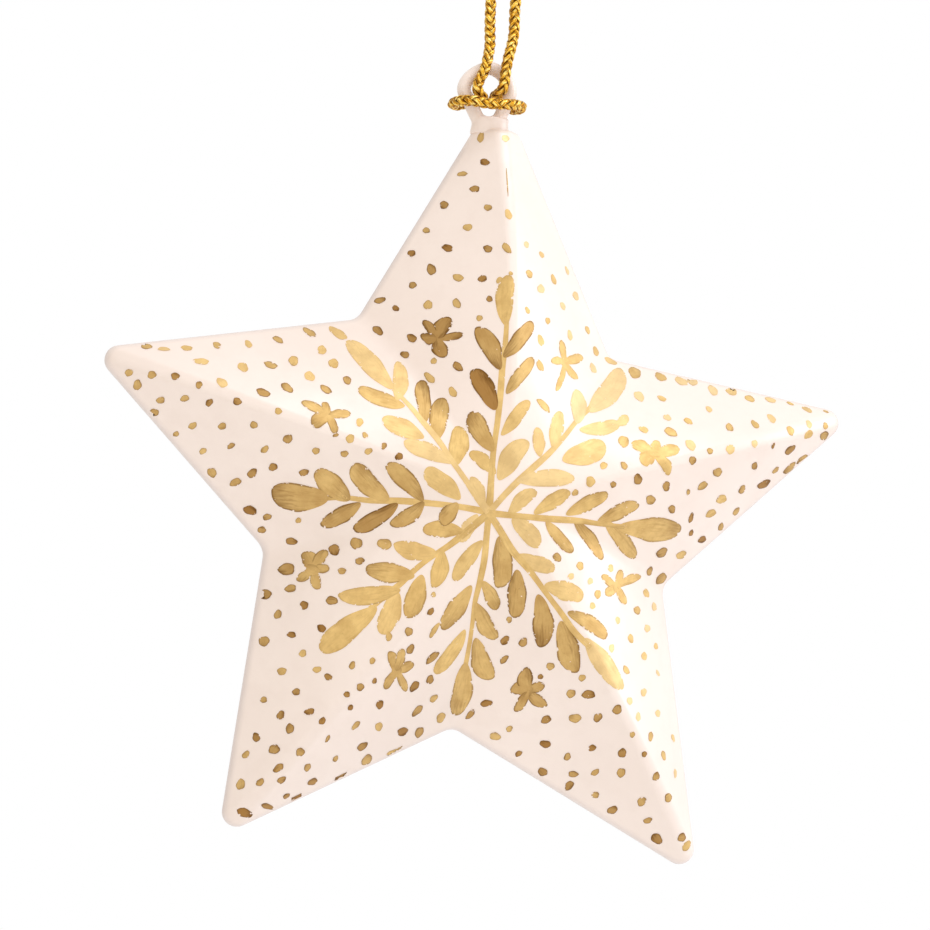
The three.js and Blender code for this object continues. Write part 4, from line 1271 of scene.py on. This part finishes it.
def paint_finish():
    """Gold paint laid on by brush: satin, streaked along each stroke, brown where it pooled, and painted
    paler as a highlight on faces turned to the lamps.
    """
    material, t = new_material("gold_paint")
    grain = t.group(hand_grain, t.place((1.5, 1.5, 1.5)))
    streak = t.noise(t.place((0.55, 3.4, 1.0), source="UV"), 1.0, 3.0, 0.55, 0.4)
    tone, edge, sweep = (t.attribute(name) for name in ("tone", "edge", "sweep"))
    gold = t.mix(t.range(grain["Cloud"], 0.0, 1.0, 0.36, 0.64), GOLD, GOLD_LIGHT)
    gold = t.mix(t.range(streak, 0.0, 0.3, 0.52, 0.7), gold, GOLD_STREAK)
    # painted highlight: low tones turn the gold pale
    gold = t.mix(t.range(tone, 0.45, 0.0, -0.5, 0.1), gold, GOLD_PALE_LIT)
    # high tones turn the gold brown: partly the paint's own tone, partly painted shade given stroke by
    # stroke
    gold = t.mix(t.range(tone, 0.0, 0.92, 0.2, 1.5), gold, GOLD_BROWN)
    pooled = t.plus(t.times(sweep, 0.6), t.math("SUBTRACT", streak, 0.5))
    gold = t.mix(t.times(t.range(pooled, 0.0, 0.85, 0.1, 0.75), tone), gold, GOLD_POOLED)
    rim = t.times(t.range(edge, 0.0, 0.9, 0.3, 0.7), t.range(tone, 0.12, 1.0))
    gold = t.mix(rim, gold, GOLD_RIM)
    gold = t.mix(t.range(grain["Fine"], 0.0, 0.8, 0.69, 0.74), gold, GOLD_SPECK)
    ragged = t.noise(t.place(), 1.9, 3.0, 0.6, 0.5)
    bare = t.range(t.plus(ragged, t.times(edge, 0.18)), 0.0, 1.0, 0.72, 0.76)
    t.surface(
        Base_Color=t.mix(bare, gold, BARE_GESSO),
        Metallic=t.range(bare, 0.5, 0.0),
        Specular_IOR_Level=0.2,
        Roughness=t.range(streak, 0.46, 0.58, 0.3, 0.7),
        Normal=t.bump(streak, 0.03, 0.5),
    )
    return material


gold_paint = paint_finish()

# ---------------- inside pieces
PULP = (0.36, 0.30, 0.22)
PULP_LIGHT = (0.52, 0.45, 0.35)
PULP_FIBRE = (0.66, 0.60, 0.50)
WIRE_STOPS = (0.4, (0.16, 0.14, 0.13)), (0.6, (0.42, 0.40, 0.38))


def pulp_finish():
    """Pressed paper pulp: dull, mottled, with short pale fibres."""
    material, t = new_material("paper_pulp")
    grain = t.group(hand_grain, t.place((2.0, 2.0, 2.0)))
    pulp = t.mix(t.range(grain["Cloud"], 0.0, 1.0, 0.35, 0.65), PULP, PULP_LIGHT)
    t.surface(
        Base_Color=t.mix(t.range(grain["Fine"], 0.0, 0.5, 0.58, 0.72), pulp, PULP_FIBRE),
        Roughness=t.range(grain["Fine"], 0.85, 0.95, 0.3, 0.7),
        Normal=t.bump(grain["Fine"], 0.12, 0.6),
    )
    return material


def wire_finish():
    """Annealed iron wire: grey metal with darker scale and drawn lines."""
    material, t = new_material("iron_wire")
    drawn = t.noise(t.place((1.0, 1.0, 9.0)), 2.0, 2.0)
    t.surface(
        Base_Color=t.ramp(t.noise(t.place(), 1.6, 4.0, 0.6), *WIRE_STOPS),
        Metallic=1.0,
        Roughness=t.range(drawn, 0.35, 0.55, 0.3, 0.7),
        Normal=t.bump(drawn, 0.02, 0.4),
    )
    return material


def coat_node(name, material):
    """Gives a CAD piece that stays inside the star its own finish."""
    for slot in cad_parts[name].material_slots:
        slot.material = material


coat_node("anchor_plug", pulp_finish())
coat_node("loop_wire", wire_finish())
painted = paint_half(front_half, -1, "front", gold_paint, 51)
painted += paint_half(rear_half, 1, "rear", gold_paint, 52)

# ---------------- stage and light
FLOOR_Z = -0.30
FLOOR_GLOW = 0.35  # lifts the floor to white where it is seen
WORLD_COLOUR = (1.0, 0.985, 0.97)
WORLD_LIGHT = 0.70
WHITE = (1.0, 1.0, 1.0)
LAMPS = [
    # name, place and size in metres, watts, colour
    ("above", (0.33, -0.45, 0.95), 0.5, 5.85, (0.825, 0.88, 1.0)),
    ("right", (1.12, -0.23, 0.25), 0.5, 4.95, (0.83, 0.87, 1.0)),
    ("fill", (-0.6, -0.9, 0.1), 0.9, 2.0, (1.0, 0.96, 0.93)),
]


def make_stage():
    """A pale floor under the ornament that shows white, and keeps the shadow."""
    bm = bmesh.new()
    bmesh.ops.create_grid(bm, x_segments=1, y_segments=1, size=1.0)
    bmesh.ops.translate(bm, vec=(0, 0, FLOOR_Z), verts=bm.verts)
    mesh = bpy.data.meshes.new("floor")
    bm.to_mesh(mesh)
    bm.free()
    material, t = new_material("pale_floor")
    t.surface(
        Base_Color=(0.9, 0.9, 0.9),
        Roughness=0.8,
        Emission_Color=WHITE,
        Emission_Strength=t.times(t.seen(), FLOOR_GLOW),
    )
    mesh.materials.append(material)
    add_object("floor", mesh)


def make_world():
    """White where a ray sees it, and a soft light otherwise."""
    world = bpy.data.worlds.new("studio")
    bpy.context.scene.world = world
    world.use_nodes = True
    t = Tree(world.node_tree)
    plain = world.node_tree.nodes["Background"]
    t.feed(plain.inputs["Color"], WORLD_COLOUR)
    t.feed(plain.inputs["Strength"], WORLD_LIGHT)
    white = t.add("ShaderNodeBackground", {"Color": WHITE, "Strength": 1.0})
    mix = t.add("ShaderNodeMixShader", {0: t.seen(), 1: plain.outputs[0], 2: white.outputs[0]})
    t.join(mix.outputs[0], world.node_tree.nodes["World Output"].inputs["Surface"])


def make_lamp(name, place, size, power, colour):
    """A square soft lamp that faces the star."""
    data = bpy.data.lights.new(name, "AREA")
    data.energy = power
    data.size = size
    data.color = colour
    aim = (STAR_MIDDLE * MM - Vector(place)).to_track_quat("-Z", "Y")
    add_object(name, data).matrix_world = Matrix.Translation(place) @ aim.to_matrix().to_4x4()


make_stage()
make_world()
for lamp in LAMPS:
    make_lamp(*lamp)
bpy.context.scene.view_settings.view_transform = "Standard"

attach(knot, "knot")
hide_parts("cord_knot")
for piece, line, nodes in (
    (left_cord, left_line, ("cord_left", "cord_hitch")),
    (right_cord, right_line, ("cord_right",)),
):
    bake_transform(piece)
    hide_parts(*nodes)
for piece, node in (
    (front_half, "front_shell"),
    (rear_half, "rear_shell"),
    (seam_band, "seam_strip"),
    (eye, "hanger_loop"),
):
    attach(piece, "star")
    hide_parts(node)
for piece in painted:
    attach(piece, "star")
